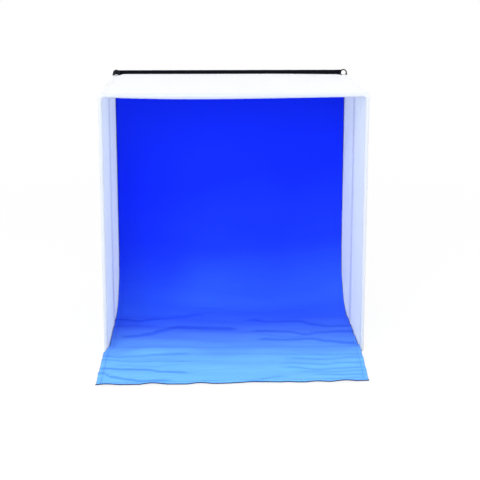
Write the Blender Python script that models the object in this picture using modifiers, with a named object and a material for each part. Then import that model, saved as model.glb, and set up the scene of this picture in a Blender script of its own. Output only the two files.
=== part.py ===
"""Folding light tent: a black backed board, a white wire hoop in front of it, two creased
white walls between them, a soft roof and floor, and a blue backdrop cloth.

Metres, +Z up, -Y is the open front. The origin is the middle of the tent's floor, on the table.
The walls crease inwards about upright hinges, and carry the hoop back against the board."""

import math

import bmesh
import bpy
from mathutils import Vector

MM = 0.001

# The open tent, over its outside
TENT_WIDTH = 400 * MM
TENT_HEIGHT = 400 * MM
TENT_DEPTH = 300 * MM

# Clearance between pieces that touch, and how far a cutter runs past what it cuts
FIT = 0.3 * MM
OVERRUN = 2 * MM

# The back: white lining, stiff board and black cover, held together by a black edge binding
BACK_RISE = 6 * MM
BACK_CORNER_RADIUS = 10 * MM
LINING_THICKNESS = 0.6 * MM
BOARD_THICKNESS = 3 * MM
COVER_THICKNESS = 0.8 * MM
BINDING_THICKNESS = 0.8 * MM
BINDING_FLANGE = 8 * MM

# The front hoop: spring wire in a sewn sleeve, with a mouth where the wire was threaded in
HOOP_SLEEVE_DIAMETER = 6 * MM
HOOP_WIRE_DIAMETER = 3 * MM
HOOP_BEND_RADIUS = 8 * MM
HOOP_MOUTH_LENGTH = 24 * MM

# Each half wall: translucent nylon stretched on a wire loop in a sewn sleeve
WALL_SLEEVE_DIAMETER = 4.5 * MM
WALL_WIRE_DIAMETER = 2.5 * MM
WALL_BEND_RADIUS = 5 * MM
WALL_FABRIC_THICKNESS = 0.9 * MM
WALL_MOUTH_LENGTH = 18 * MM

# Sewn tapes along the upright hinges
TAPE_THICKNESS = 0.8 * MM
TAPE_END_SETBACK = 14 * MM
HINGE_TAPE_WIDTH = 5.2 * MM
CREASE_TAPE_WIDTH = 11 * MM

# Soft roof and floor. The roof sags in the middle, and its sides draw in.
ROOF_THICKNESS = 0.8 * MM
ROOF_DROP = 1.7 * MM
ROOF_SAG = 3 * MM
ROOF_SAG_AT_HEM_SHARE = 0.35
ROOF_LEFT_BOW = 5 * MM
ROOF_RIGHT_BOW = 1.5 * MM
ROOF_EASE = 0.6 * MM
ROOF_COLUMNS = 12
ROOF_ROWS = 10
FLOOR_THICKNESS = 0.8 * MM

# Hook and loop strips that hold the backdrop
STRIP_THICKNESS = 0.7 * MM
STRIP_HEIGHT = 20 * MM
STRIP_SIDE_SETBACK = 10 * MM
STRIP_TOP_SETBACK = 14 * MM
STRIP_CORNER_RADIUS = 2 * MM

# Backdrop cloth: its lie, and how high its soft folds stand on each stretch of it
BACKDROP_THICKNESS = 0.8 * MM
BACKDROP_SIDE_GAP = 2.7 * MM
BACKDROP_TOP_MARGIN = 2 * MM
BACKDROP_SWEEP_RADIUS = 110 * MM
BACKDROP_APRON = 137 * MM
BACKDROP_HUMP_REACH = 17 * MM
BACKDROP_HUMP_EASE = 0.9 * MM
WALL_FOLD = 1.6 * MM
SWEEP_FOLD = 5 * MM
FLOOR_FOLD = 4 * MM
HUMP_FOLD = 0.6 * MM
APRON_FOLD = 3 * MM
FOLD_SPACING = 52 * MM
BACKDROP_COLUMNS = 10
WALL_ROWS = 9
SWEEP_ROWS = 12
FLOOR_ROWS = 12
HUMP_ROWS = 10
APRON_ROWS = 9

# A fold's waves: how many across the cloth, how far on each starts, how much each counts
WANDER_WAVES_SHARES = ((1.05, 0.10, 0.55), (0.85, 0.30, 0.30))
WANDER_TURNS_SHARE = 0.38
MAIN_WAVE_SHARE = 0.32
CROSS_WAVE_SHARE = 0.18
CROSS_WAVE_SLANT_SHARE = 0.5
CROSS_WAVE_START_SHARE = 0.18

# Button and elastic loop at each rear corner of the roof
BUTTON_DIAMETER = 8 * MM
BUTTON_SEAT_DIAMETER = 4 * MM
BUTTON_SIDE_SETBACK = 8 * MM
ELASTIC_DIAMETER = 1.8 * MM

# Webbing handle sewn to the black cover, and the patches stitched over its ends
HANDLE_WEBBING_THICKNESS = 1.6 * MM
HANDLE_WEBBING_WIDTH = 25 * MM
HANDLE_SPAN = 104 * MM
HANDLE_TAB_LENGTH = 26 * MM
HANDLE_BOW = 24 * MM
HANDLE_TOP_SETBACK = 72 * MM
PATCH_THICKNESS = 0.8 * MM
PATCH_MARGIN = 3 * MM
PATCH_CORNER_RADIUS = 3 * MM

# Facets of round pieces
CORNER_STEPS = 4
TUBE_RESOLUTION = 2
BUTTON_STEPS = 14
BUTTON_ARC_STEPS = 7
ELASTIC_STEPS = 10
HANDLE_BOW_STEPS = 20

# Places along the depth, from the rear face forwards
BACK_REAR_Y = TENT_DEPTH / 2
COVER_REAR_Y = BACK_REAR_Y - BINDING_THICKNESS - FIT
BOARD_REAR_Y = COVER_REAR_Y - COVER_THICKNESS - FIT
LINING_REAR_Y = BOARD_REAR_Y - BOARD_THICKNESS - FIT
LINING_FRONT_Y = LINING_REAR_Y - LINING_THICKNESS
BACK_FRONT_Y = LINING_FRONT_Y - FIT - BINDING_THICKNESS
REAR_HINGE_Y = BACK_FRONT_Y - FIT - TAPE_THICKNESS - FIT
HOOP_FRONT_Y = -TENT_DEPTH / 2
HOOP_REAR_Y = HOOP_FRONT_Y + HOOP_SLEEVE_DIAMETER
FRONT_HINGE_Y = HOOP_REAR_Y + FIT + TAPE_THICKNESS + FIT
CREASE_Y = (REAR_HINGE_Y + FRONT_HINGE_Y) / 2
HOOK_STRIP_FRONT_Y = LINING_FRONT_Y - FIT - STRIP_THICKNESS
LOOP_STRIP_FRONT_Y = HOOK_STRIP_FRONT_Y - FIT - STRIP_THICKNESS
BACKDROP_REAR_Y = min(REAR_HINGE_Y, LOOP_STRIP_FRONT_Y - FIT)

# Places across the width: the side hinges lie on the walls' inner faces, the creases outside
WALL_X = (TENT_WIDTH - HOOP_SLEEVE_DIAMETER) / 2
WALL_INNER_X = WALL_X - WALL_SLEEVE_DIAMETER / 2
WALL_OUTER_X = WALL_X + WALL_SLEEVE_DIAMETER / 2
SIDE_HINGE_X = WALL_INNER_X - FIT
CREASE_HINGE_X = WALL_OUTER_X + FIT + TAPE_THICKNESS + FIT
BACKDROP_WIDTH = 2 * (WALL_INNER_X - BACKDROP_SIDE_GAP)

# Heights
BACK_TOP = TENT_HEIGHT + BACK_RISE
ROOF_TOP = TENT_HEIGHT - ROOF_DROP
ROOF_UNDERSIDE = ROOF_TOP - ROOF_THICKNESS
WALL_BOTTOM = FLOOR_THICKNESS + FIT
WALL_TOP = ROOF_UNDERSIDE - ROOF_EASE
WALL_HEIGHT = WALL_TOP - WALL_BOTTOM
WALL_LENGTH = CREASE_Y - FRONT_HINGE_Y - 2 * FIT
STRIP_TOP = TENT_HEIGHT - STRIP_TOP_SETBACK
BACKDROP_TOP = STRIP_TOP + BACKDROP_TOP_MARGIN

# Turns of a piece drawn flat in XY: standing across the tent, and standing along either side
ACROSS = (math.pi / 2, 0, 0)
ALONG_RIGHT = (math.pi / 2, 0, math.pi / 2)
ALONG_LEFT = (math.pi / 2, 0, -math.pi / 2)


def clear_scene():
    for old in list(bpy.data.objects):
        bpy.data.objects.remove(old, do_unlink=True)


def new_collection(name):
    made = bpy.data.collections.new(name)
    bpy.context.scene.collection.children.link(made)
    return made


def new_material(name, colour, roughness, metallic=0.0):
    made = bpy.data.materials.new(name)
    made.use_nodes = True
    shader = made.node_tree.nodes["Principled BSDF"]
    shader.inputs["Base Color"].default_value = (*colour, 1.0)
    shader.inputs["Roughness"].default_value = roughness
    shader.inputs["Metallic"].default_value = metallic
    made.diffuse_color = (*colour, 1.0)
    return made


clear_scene()
TENT = new_collection("light_tent")
CUTTERS = new_collection("cutters")
WHITE_NYLON = new_material("white_nylon", (0.86, 0.88, 0.92), 0.6)
BLACK_NYLON = new_material("black_nylon", (0.012, 0.012, 0.016), 0.55)
BLUE_CLOTH = new_material("blue_cloth", (0.008, 0.035, 0.80), 0.8)
SPRING_STEEL = new_material("spring_steel", (0.55, 0.56, 0.58), 0.35, 1.0)
FIBREBOARD = new_material("fibreboard", (0.18, 0.11, 0.06), 0.85)
HOOK_TAPE = new_material("hook_tape", (0.75, 0.77, 0.80), 0.9)
BLACK_WEBBING = new_material("black_webbing", (0.015, 0.015, 0.018), 0.75)
BLACK_ELASTIC = new_material("black_elastic", (0.01, 0.01, 0.012), 0.7)
WHITE_PLASTIC = new_material("white_plastic", (0.88, 0.88, 0.88), 0.35)


def world_place(holder):
    """Where an unturned empty stands, through all the empties that carry it."""
    place = Vector((0, 0, 0))
    while holder is not None:
        place += holder.location
        holder = holder.parent
    return place


def empty_at(name, place, parent=None):
    """An empty on a joint's axis. The pieces of the moving body are parented to it."""
    made = bpy.data.objects.new(name, None)
    made.empty_display_size = HOOP_SLEEVE_DIAMETER
    TENT.objects.link(made)
    made.parent = parent
    made.location = Vector(place) - world_place(parent)
    return made


def add_piece(name, data, material, place=(0, 0, 0), turn=(0, 0, 0), parent=None):
    """Puts a mesh or a curve in the tent at a world place, as a child of its joint's empty."""
    piece = bpy.data.objects.new(name, data)
    TENT.objects.link(piece)
    if not data.materials:
        data.materials.append(material)
    piece.parent = parent
    piece.location = Vector(place) - world_place(parent)
    piece.rotation_euler = turn
    return piece


def add_cutter(name, data, place=(0, 0, 0), turn=(0, 0, 0)):
    cutter = bpy.data.objects.new(name, data)
    CUTTERS.objects.link(cutter)
    cutter.hide_render = True
    cutter.display_type = "WIRE"
    cutter.location = place
    cutter.rotation_euler = turn
    return cutter


def cut(piece, cutter, operation="DIFFERENCE"):
    modifier = piece.modifiers.new(f"{operation.lower()}_{cutter.name}", "BOOLEAN")
    modifier.operation = operation
    modifier.object = cutter
    modifier.solver = "EXACT"


def rounded_rectangle(width, height, radius):
    """Points round a rectangle with arcs at its corners, anticlockwise, centred on zero."""
    points = []
    corners = ((1, 1, 0), (-1, 1, 1), (-1, -1, 2), (1, -1, 3))
    for side, up, quarter in corners:
        for step in range(CORNER_STEPS + 1):
            angle = (quarter + step / CORNER_STEPS) * math.pi / 2
            across = side * (width / 2 - radius) + radius * math.cos(angle)
            along = up * (height / 2 - radius) + radius * math.sin(angle)
            points.append((across, along))
    return points


def outline_curve(name, points, thickness):
    """A flat closed outline in XY, thickened evenly to both sides along Z."""
    curve = bpy.data.curves.new(name, "CURVE")
    curve.dimensions = "2D"
    curve.fill_mode = "BOTH"
    curve.extrude = thickness / 2
    spline = curve.splines.new("POLY")
    spline.points.add(len(points) - 1)
    for point, (across, along) in zip(spline.points, points):
        point.co = (across, along, 0, 1)
    spline.use_cyclic_u = True
    return curve


def plate(name, width, height, thickness, radius):
    """A rounded rectangular plate, lying in XY and centred on zero."""
    return outline_curve(name, rounded_rectangle(width, height, radius), thickness)


def tube_curve(name, points, diameter, closed):
    """A round tube along 3-D points, with its ends capped if it is open."""
    curve = bpy.data.curves.new(name, "CURVE")
    curve.dimensions = "3D"
    curve.bevel_depth = diameter / 2
    curve.bevel_resolution = TUBE_RESOLUTION
    curve.use_fill_caps = not closed
    spline = curve.splines.new("POLY")
    spline.points.add(len(points) - 1)
    for point, place in zip(spline.points, points):
        point.co = (*place, 1)
    spline.use_cyclic_u = closed
    spline.use_smooth = True
    return curve


def mesh_from_curve(curve):
    """The curve's surface as a welded mesh, so that it can be cut and joined."""
    holder = bpy.data.objects.new(curve.name, curve)
    bpy.context.scene.collection.objects.link(holder)
    graph = bpy.context.evaluated_depsgraph_get()
    mesh = bpy.data.meshes.new_from_object(holder.evaluated_get(graph))
    bpy.data.objects.remove(holder, do_unlink=True)
    work = bmesh.new()
    work.from_mesh(mesh)
    bmesh.ops.remove_doubles(work, verts=work.verts, dist=FIT / 100)
    bmesh.ops.recalc_face_normals(work, faces=work.faces)
    work.to_mesh(mesh)
    work.free()
    return mesh


def baked_mesh(piece):
    """The mesh of a piece with its cuts and joins made, so that copies can share it."""
    graph = bpy.context.evaluated_depsgraph_get()
    return bpy.data.meshes.new_from_object(piece.evaluated_get(graph))


def block(name, size_x, size_y, size_z):
    mesh = bpy.data.meshes.new(name)
    work = bmesh.new()
    bmesh.ops.create_cube(work, size=1)
    bmesh.ops.scale(work, vec=(size_x, size_y, size_z), verts=work.verts)
    work.to_mesh(mesh)
    work.free()
    return mesh


def cloth_piece(name, columns, rows, place_of, thickness, material):
    """A grid moved by place_of(across, along), both from 0 to 1, and thickened evenly."""
    mesh = bpy.data.meshes.new(name)
    work = bmesh.new()
    bmesh.ops.create_grid(work, x_segments=columns, y_segments=rows, size=1)
    for vertex in work.verts:
        across = (vertex.co.x + 1) / 2
        along = (vertex.co.y + 1) / 2
        vertex.co = place_of(across, along)
    bmesh.ops.recalc_face_normals(work, faces=work.faces)
    work.to_mesh(mesh)
    work.free()
    mesh.shade_smooth()
    cloth = add_piece(name, mesh, material)
    solid = cloth.modifiers.new("cloth_thickness", "SOLIDIFY")
    solid.thickness = thickness
    solid.offset = 0
    solid.use_even_offset = True
    return cloth


def upright_plate(name, span_x, span_z, front_y, thickness, radius, material, parent=None):
    """A plate that faces the front of the tent, over a span across it and a span of heights."""
    left, right = span_x
    bottom, top = span_z
    shape = plate(name, right - left, top - bottom, thickness, radius)
    place = ((left + right) / 2, front_y + thickness / 2, (bottom + top) / 2)
    return add_piece(name, shape, material, place, ACROSS, parent)


def build_back():
    """The board in its white lining and black cover. The binding grips all three by the edge."""
    inside = TENT_WIDTH / 2 - BINDING_THICKNESS - FIT
    bottom = BINDING_THICKNESS + FIT
    top = BACK_TOP - BINDING_THICKNESS - FIT
    radius = BACK_CORNER_RADIUS - BINDING_THICKNESS - FIT
    layers = (
        ("back_lining", LINING_FRONT_Y, LINING_THICKNESS, WHITE_NYLON),
        ("back_board", LINING_REAR_Y + FIT, BOARD_THICKNESS, FIBREBOARD),
        ("back_cover", BOARD_REAR_Y + FIT, COVER_THICKNESS, BLACK_NYLON),
    )
    for name, front_y, thickness, material in layers:
        upright_plate(name, (-inside, inside), (bottom, top), front_y, thickness, radius, material)

    depth = BACK_REAR_Y - BACK_FRONT_Y
    place = (0, (BACK_REAR_Y + BACK_FRONT_Y) / 2, BACK_TOP / 2)
    outer = mesh_from_curve(plate("back_binding", TENT_WIDTH, BACK_TOP, depth, BACK_CORNER_RADIUS))
    binding = add_piece("back_binding", outer, BLACK_NYLON, place, ACROSS)
    hollows = (
        ("binding_window", BINDING_FLANGE, depth + 2 * OVERRUN, BACK_CORNER_RADIUS),
        (
            "binding_slot",
            BINDING_THICKNESS,
            depth - 2 * BINDING_THICKNESS,
            BACK_CORNER_RADIUS - BINDING_THICKNESS,
        ),
    )
    for name, inset, thickness, corner_radius in hollows:
        width = TENT_WIDTH - 2 * inset
        height = BACK_TOP - 2 * inset
        hollow = mesh_from_curve(plate(name, width, height, thickness, corner_radius))
        cut(binding, add_cutter(name, hollow, place, ACROSS))


def build_strips():
    """The hook strip on the lining, and the loop strip that is sewn behind the backdrop."""
    half = BACKDROP_WIDTH / 2 - STRIP_SIDE_SETBACK
    heights = (STRIP_TOP - STRIP_HEIGHT, STRIP_TOP)
    strips = (("backdrop_hook_strip", HOOK_STRIP_FRONT_Y), ("backdrop_loop_strip", LOOP_STRIP_FRONT_Y))
    for name, front_y in strips:
        upright_plate(
            name, (-half, half), heights, front_y, STRIP_THICKNESS, STRIP_CORNER_RADIUS, HOOK_TAPE
        )


def wire_path(width, height, bend_radius, sleeve_diameter):
    """The centreline of a wire loop, in XY, whose sleeve is as wide and high as given."""
    flat = rounded_rectangle(width - sleeve_diameter, height - sleeve_diameter, bend_radius)
    return [(across, along, 0) for across, along in flat]


def cut_wire_channel(sleeve, path, wire_diameter, sleeve_diameter, mouth_length, bottom):
    """Hollows a sleeve for its wire, and opens it for a short way above the bottom run."""
    bore_name = f"{sleeve.name}_bore"
    bore = tube_curve(bore_name, path, wire_diameter + 2 * FIT, True)
    cut(sleeve, add_cutter(bore_name, mesh_from_curve(bore)))
    mouth_name = f"{sleeve.name}_mouth"
    mouth = block(mouth_name, mouth_length, sleeve_diameter, sleeve_diameter)
    place = (0, bottom + sleeve_diameter, sleeve_diameter / 2)
    cut(sleeve, add_cutter(mouth_name, mouth, place))


def wire_mesh(name, path, diameter):
    mesh = mesh_from_curve(tube_curve(name, path, diameter, True))
    mesh.shade_smooth()
    return mesh


def half_wall_meshes():
    """The shared meshes of the half walls: nylon panel with its sleeve, and the wire loop in it."""
    path = wire_path(WALL_LENGTH, WALL_HEIGHT, WALL_BEND_RADIUS, WALL_SLEEVE_DIAMETER)
    outline = [(across, along) for across, along, _ in path]
    fabric = mesh_from_curve(outline_curve("wall_fabric", outline, WALL_FABRIC_THICKNESS))
    panel = add_cutter("wall_panel", fabric)
    sleeve = mesh_from_curve(tube_curve("wall_sleeve", path, WALL_SLEEVE_DIAMETER, True))
    cut(panel, add_cutter("wall_sleeve", sleeve), "UNION")
    cut_wire_channel(
        panel, path, WALL_WIRE_DIAMETER, WALL_SLEEVE_DIAMETER, WALL_MOUTH_LENGTH, -WALL_HEIGHT / 2
    )
    return baked_mesh(panel), wire_mesh("wall_wire", path, WALL_WIRE_DIAMETER)


def build_hoop(parent):
    """The front hoop: a closed spring wire in a white sleeve, standing on the table."""
    path = wire_path(TENT_WIDTH, TENT_HEIGHT, HOOP_BEND_RADIUS, HOOP_SLEEVE_DIAMETER)
    tube = mesh_from_curve(tube_curve("hoop_tube", path, HOOP_SLEEVE_DIAMETER, True))
    hollowed = add_cutter("hoop_tube", tube)
    cut_wire_channel(
        hollowed, path, HOOP_WIRE_DIAMETER, HOOP_SLEEVE_DIAMETER, HOOP_MOUTH_LENGTH, -TENT_HEIGHT / 2
    )
    place = (0, (HOOP_FRONT_Y + HOOP_REAR_Y) / 2, TENT_HEIGHT / 2)
    add_piece("hoop_sleeve", baked_mesh(hollowed), WHITE_NYLON, place, ACROSS, parent)
    wire = wire_mesh("hoop_wire", path, HOOP_WIRE_DIAMETER)
    add_piece("hoop_wire", wire, SPRING_STEEL, place, ACROSS, parent)


def build_half_wall(side, end, meshes, parent):
    """One half wall with its wire, and its half of the crease tape along its outer face."""
    sign = 1 if side == "right" else -1
    turn = ALONG_RIGHT if side == "right" else ALONG_LEFT
    away = 1 if end == "rear" else -1
    middle_z = (WALL_BOTTOM + WALL_TOP) / 2
    place = (sign * WALL_X, CREASE_Y + away * (FIT + WALL_LENGTH / 2), middle_z)
    panel_mesh, loop_mesh = meshes
    add_piece(f"{side}_{end}_panel", panel_mesh, WHITE_NYLON, place, turn, parent)
    add_piece(f"{side}_{end}_wire", loop_mesh, SPRING_STEEL, place, turn, parent)
    name = f"{side}_{end}_crease_tape"
    height = WALL_HEIGHT - 2 * TAPE_END_SETBACK
    tape = plate(name, CREASE_TAPE_WIDTH, height, TAPE_THICKNESS, TAPE_THICKNESS)
    tape_x = WALL_OUTER_X + FIT + TAPE_THICKNESS / 2
    tape_place = (sign * tape_x, CREASE_Y + away * (FIT + CREASE_TAPE_WIDTH / 2), middle_z)
    add_piece(name, tape, WHITE_NYLON, tape_place, turn, parent)


def build_hinge_tape(side, end, front_y, parent):
    """The tape that a wall is sewn to, on the board's binding or on the hoop's sleeve."""
    outer = TENT_WIDTH / 2 - FIT
    inner = outer - HINGE_TAPE_WIDTH
    span = (inner, outer) if side == "right" else (-outer, -inner)
    heights = (WALL_BOTTOM + TAPE_END_SETBACK, WALL_TOP - TAPE_END_SETBACK)
    name = f"{side}_{end}_hinge_tape"
    upright_plate(name, span, heights, front_y, TAPE_THICKNESS, TAPE_THICKNESS, WHITE_NYLON, parent)


def build_folding_frame():
    """Half walls and hoop on their upright hinges, each on an empty that marks its axis."""
    meshes = half_wall_meshes()
    crease_axes = {}
    for side, sign in (("left", -1), ("right", 1)):
        rear_place = (sign * SIDE_HINGE_X, REAR_HINGE_Y, 0)
        crease_place = (sign * CREASE_HINGE_X, CREASE_Y, 0)
        rear_axis = empty_at(f"{side}_rear_axis", rear_place)
        crease_axes[side] = empty_at(f"{side}_crease_axis", crease_place, rear_axis)
        build_hinge_tape(side, "rear", BACK_FRONT_Y - FIT - TAPE_THICKNESS, None)
        build_half_wall(side, "rear", meshes, rear_axis)
        build_half_wall(side, "front", meshes, crease_axes[side])
    hoop_axis = empty_at("hoop_axis", (-SIDE_HINGE_X, FRONT_HINGE_Y, 0), crease_axes["left"])
    for side in ("left", "right"):
        build_hinge_tape(side, "front", HOOP_REAR_Y + FIT, hoop_axis)
    build_hoop(hoop_axis)


def roof_place(across, along):
    """A point of the roof, which hangs between the hoop and the board."""
    front_y = HOOP_REAR_Y + FIT
    rear_y = BACK_FRONT_Y - FIT
    sideways = 2 * across - 1
    slack = 1 - (2 * along - 1) ** 2
    bow = ROOF_LEFT_BOW if sideways < 0 else ROOF_RIGHT_BOW
    half_width = TENT_WIDTH / 2 - bow * slack
    sag_share = ROOF_SAG_AT_HEM_SHARE + (1 - ROOF_SAG_AT_HEM_SHARE) * slack
    droop = ROOF_SAG * (1 - sideways**2) * sag_share
    middle_z = (ROOF_TOP + ROOF_UNDERSIDE) / 2
    return (sideways * half_width, front_y + (rear_y - front_y) * along, middle_z - droop)


def build_roof_and_floor():
    cloth_piece("roof_panel", ROOF_COLUMNS, ROOF_ROWS, roof_place, ROOF_THICKNESS, WHITE_NYLON)
    front_y = HOOP_REAR_Y + FIT
    rear_y = BACK_FRONT_Y - FIT
    floor = plate("floor_panel", TENT_WIDTH, rear_y - front_y, FLOOR_THICKNESS, FLOOR_THICKNESS)
    add_piece("floor_panel", floor, WHITE_NYLON, (0, (front_y + rear_y) / 2, FLOOR_THICKNESS / 2))


def between(start, end, share):
    return start + (end - start) * share


def hoop_rise():
    """How far the hoop's bottom corner has risen where the backdrop's edge crosses it."""
    inner_radius = max(HOOP_BEND_RADIUS - HOOP_SLEEVE_DIAMETER / 2, 0)
    straight_end = TENT_WIDTH / 2 - HOOP_SLEEVE_DIAMETER - inner_radius
    reach = min(max(BACKDROP_WIDTH / 2 - straight_end, 0), inner_radius)
    return inner_radius - math.sqrt(inner_radius**2 - reach**2)


def backdrop_rows():
    """Rows of the backdrop from its top edge to its front one: (y, z, lean, fold height).
    The lean turns from 0 where the cloth hangs to a quarter turn where it lies flat."""
    half = BACKDROP_THICKNESS / 2
    wall_y = BACKDROP_REAR_Y - half
    floor_z = FLOOR_THICKNESS + FIT + half
    table_z = FIT + half
    bend_z = floor_z + BACKDROP_SWEEP_RADIUS
    bend_y = wall_y - BACKDROP_SWEEP_RADIUS
    bar_y = (HOOP_FRONT_Y + HOOP_REAR_Y) / 2
    crest_z = HOOP_SLEEVE_DIAMETER + hoop_rise() + BACKDROP_HUMP_EASE + half
    hump_rear_y = bar_y + BACKDROP_HUMP_REACH
    hump_front_y = bar_y - BACKDROP_HUMP_REACH
    front_y = HOOP_FRONT_Y - BACKDROP_APRON
    flat = math.pi / 2
    rows = []
    for row in range(WALL_ROWS):
        share = row / WALL_ROWS
        rows.append((wall_y, between(BACKDROP_TOP, bend_z, share), 0, WALL_FOLD * share))
    for row in range(SWEEP_ROWS):
        share = row / SWEEP_ROWS
        lean = share * flat
        y = bend_y + BACKDROP_SWEEP_RADIUS * math.cos(lean)
        z = bend_z - BACKDROP_SWEEP_RADIUS * math.sin(lean)
        rows.append((y, z, lean, between(WALL_FOLD, SWEEP_FOLD, share)))
    for row in range(FLOOR_ROWS):
        share = row / FLOOR_ROWS
        y = between(bend_y, hump_rear_y, share)
        rows.append((y, floor_z, flat, between(SWEEP_FOLD, FLOOR_FOLD, share)))
    for row in range(HUMP_ROWS):
        share = row / HUMP_ROWS
        rise_share = (1 - math.cos(2 * math.pi * share)) / 2
        z = between(between(floor_z, table_z, share), crest_z, rise_share)
        fold = between(HUMP_FOLD, FLOOR_FOLD, abs(2 * share - 1))
        rows.append((between(hump_rear_y, hump_front_y, share), z, flat, fold))
    for row in range(APRON_ROWS + 1):
        share = row / APRON_ROWS
        y = between(hump_front_y, front_y, share)
        rows.append((y, table_z, flat, between(FLOOR_FOLD, APRON_FOLD, share)))
    return rows


def fold_share(across, run):
    """How far a fold lifts the cloth, from 0 to 1. The folds run across it and wander a little."""
    full = 2 * math.pi
    wander = sum(
        weight * math.sin(full * (waves * across + start))
        for waves, start, weight in WANDER_WAVES_SHARES
    )
    main = math.sin(full * (run / FOLD_SPACING + WANDER_TURNS_SHARE * wander))
    slant = CROSS_WAVE_SLANT_SHARE * (run / FOLD_SPACING - across) + CROSS_WAVE_START_SHARE
    middle_share = MAIN_WAVE_SHARE + CROSS_WAVE_SHARE
    return middle_share + MAIN_WAVE_SHARE * main + CROSS_WAVE_SHARE * math.sin(full * slant)


def build_backdrop():
    """Blue cloth: it hangs from its strip, sweeps onto the floor, crosses the hoop and lies flat."""
    rows = backdrop_rows()
    runs = [0.0]
    for (y, z, _, _), (next_y, next_z, _, _) in zip(rows, rows[1:]):
        runs.append(runs[-1] + math.hypot(next_y - y, next_z - z))

    def place_of(across, along):
        row = round(along * (len(rows) - 1))
        y, z, lean, fold = rows[row]
        lift = fold * fold_share(across, runs[row])
        x = (2 * across - 1) * BACKDROP_WIDTH / 2
        return (x, y - lift * math.cos(lean), z + lift * math.sin(lean))

    cloth_piece(
        "backdrop", BACKDROP_COLUMNS, len(rows) - 1, place_of, BACKDROP_THICKNESS, BLUE_CLOTH
    )


def button_profile():
    """Half outline of the button, from its crown down its outer side to its flat seat."""
    radius = BUTTON_DIAMETER / 2
    seat_turn = math.acos(BUTTON_SEAT_DIAMETER / BUTTON_DIAMETER)
    points = [(0, radius)]
    for step in range(1, BUTTON_ARC_STEPS + 1):
        angle = between(math.pi / 2, -seat_turn, step / BUTTON_ARC_STEPS)
        points.append((radius * math.cos(angle), radius * math.sin(angle)))
    points.append((0, points[-1][1]))
    return points


def build_buttons_and_loops():
    """A white button on each rear corner of the roof, with a black elastic loop over it."""
    profile = button_profile()
    edges = [(index, index + 1) for index in range(len(profile) - 1)]
    seat_z = profile[-1][1]
    radius = BUTTON_DIAMETER / 2
    middle_y = BACK_FRONT_Y - 2 * FIT - radius
    middle_z = ROOF_TOP + FIT - seat_z
    loop_radius = radius + FIT + ELASTIC_DIAMETER / 2
    for side, sign in (("left", -1), ("right", 1)):
        place = (sign * (TENT_WIDTH / 2 - BUTTON_SIDE_SETBACK), middle_y, middle_z)
        mesh = bpy.data.meshes.new(f"{side}_corner_button")
        mesh.from_pydata([(across, 0, up) for across, up in profile], edges, [])
        button = add_piece(mesh.name, mesh, WHITE_PLASTIC, place)
        turning = button.modifiers.new("turned_shape", "SCREW")
        turning.steps = BUTTON_STEPS
        turning.render_steps = BUTTON_STEPS
        turning.use_merge_vertices = True
        turning.merge_threshold = FIT / 100
        path = [(loop_radius, 0, seat_z)]
        for step in range(ELASTIC_STEPS + 1):
            angle = math.pi * step / ELASTIC_STEPS
            path.append((loop_radius * math.cos(angle), 0, loop_radius * math.sin(angle)))
        path.append((-loop_radius, 0, seat_z))
        loop = tube_curve(f"{side}_elastic_loop", path, ELASTIC_DIAMETER, False)
        add_piece(loop.name, loop, BLACK_ELASTIC, place)


def handle_outline():
    """The webbing seen from its edge: flat sewn tabs, and a bow that leaves room for fingers."""
    half = HANDLE_SPAN / 2
    middle = [Vector((-half - HANDLE_TAB_LENGTH, 0))]
    for step in range(HANDLE_BOW_STEPS + 1):
        x = between(-half, half, step / HANDLE_BOW_STEPS)
        middle.append(Vector((x, HANDLE_BOW * (1 + math.cos(math.pi * x / half)) / 2)))
    middle.append(Vector((half + HANDLE_TAB_LENGTH, 0)))
    near = []
    far = []
    for index, point in enumerate(middle):
        before = middle[max(index - 1, 0)]
        after = middle[min(index + 1, len(middle) - 1)]
        along = (after - before).normalized()
        offset = Vector((-along.y, along.x)) * HANDLE_WEBBING_THICKNESS / 2
        near.append(tuple(point - offset))
        far.append(tuple(point + offset))
    return near + far[::-1]


def build_handle():
    """The carrying handle on the black cover, with a stitched patch over each of its ends."""
    middle_z = BACK_TOP - HANDLE_TOP_SETBACK
    web_y = COVER_REAR_Y + FIT + HANDLE_WEBBING_THICKNESS / 2
    webbing = outline_curve("carry_handle", handle_outline(), HANDLE_WEBBING_WIDTH)
    add_piece("carry_handle", webbing, BLACK_WEBBING, (0, web_y, middle_z))
    patch_y = web_y + HANDLE_WEBBING_THICKNESS / 2 + FIT
    half_height = HANDLE_WEBBING_WIDTH / 2 + PATCH_MARGIN
    heights = (middle_z - half_height, middle_z + half_height)
    inner = HANDLE_SPAN / 2 + PATCH_MARGIN
    outer = HANDLE_SPAN / 2 + HANDLE_TAB_LENGTH
    for side, span in (("left", (-outer, -inner)), ("right", (inner, outer))):
        name = f"{side}_handle_patch"
        upright_plate(name, span, heights, patch_y, PATCH_THICKNESS, PATCH_CORNER_RADIUS, BLACK_NYLON)


build_back()
build_strips()
build_folding_frame()
build_roof_and_floor()
build_backdrop()
build_buttons_and_loops()
build_handle()
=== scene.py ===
"""Looks for the folding light tent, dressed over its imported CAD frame.

Metres, +Z up, -Y is the open front. The sections follow the tent as it is sewn together:
back, handle, front hoop, side walls, roof and floor, buttons, backdrop, and then the studio."""

import math

import bmesh
import bpy
from mathutils import Matrix, Vector, noise


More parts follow.
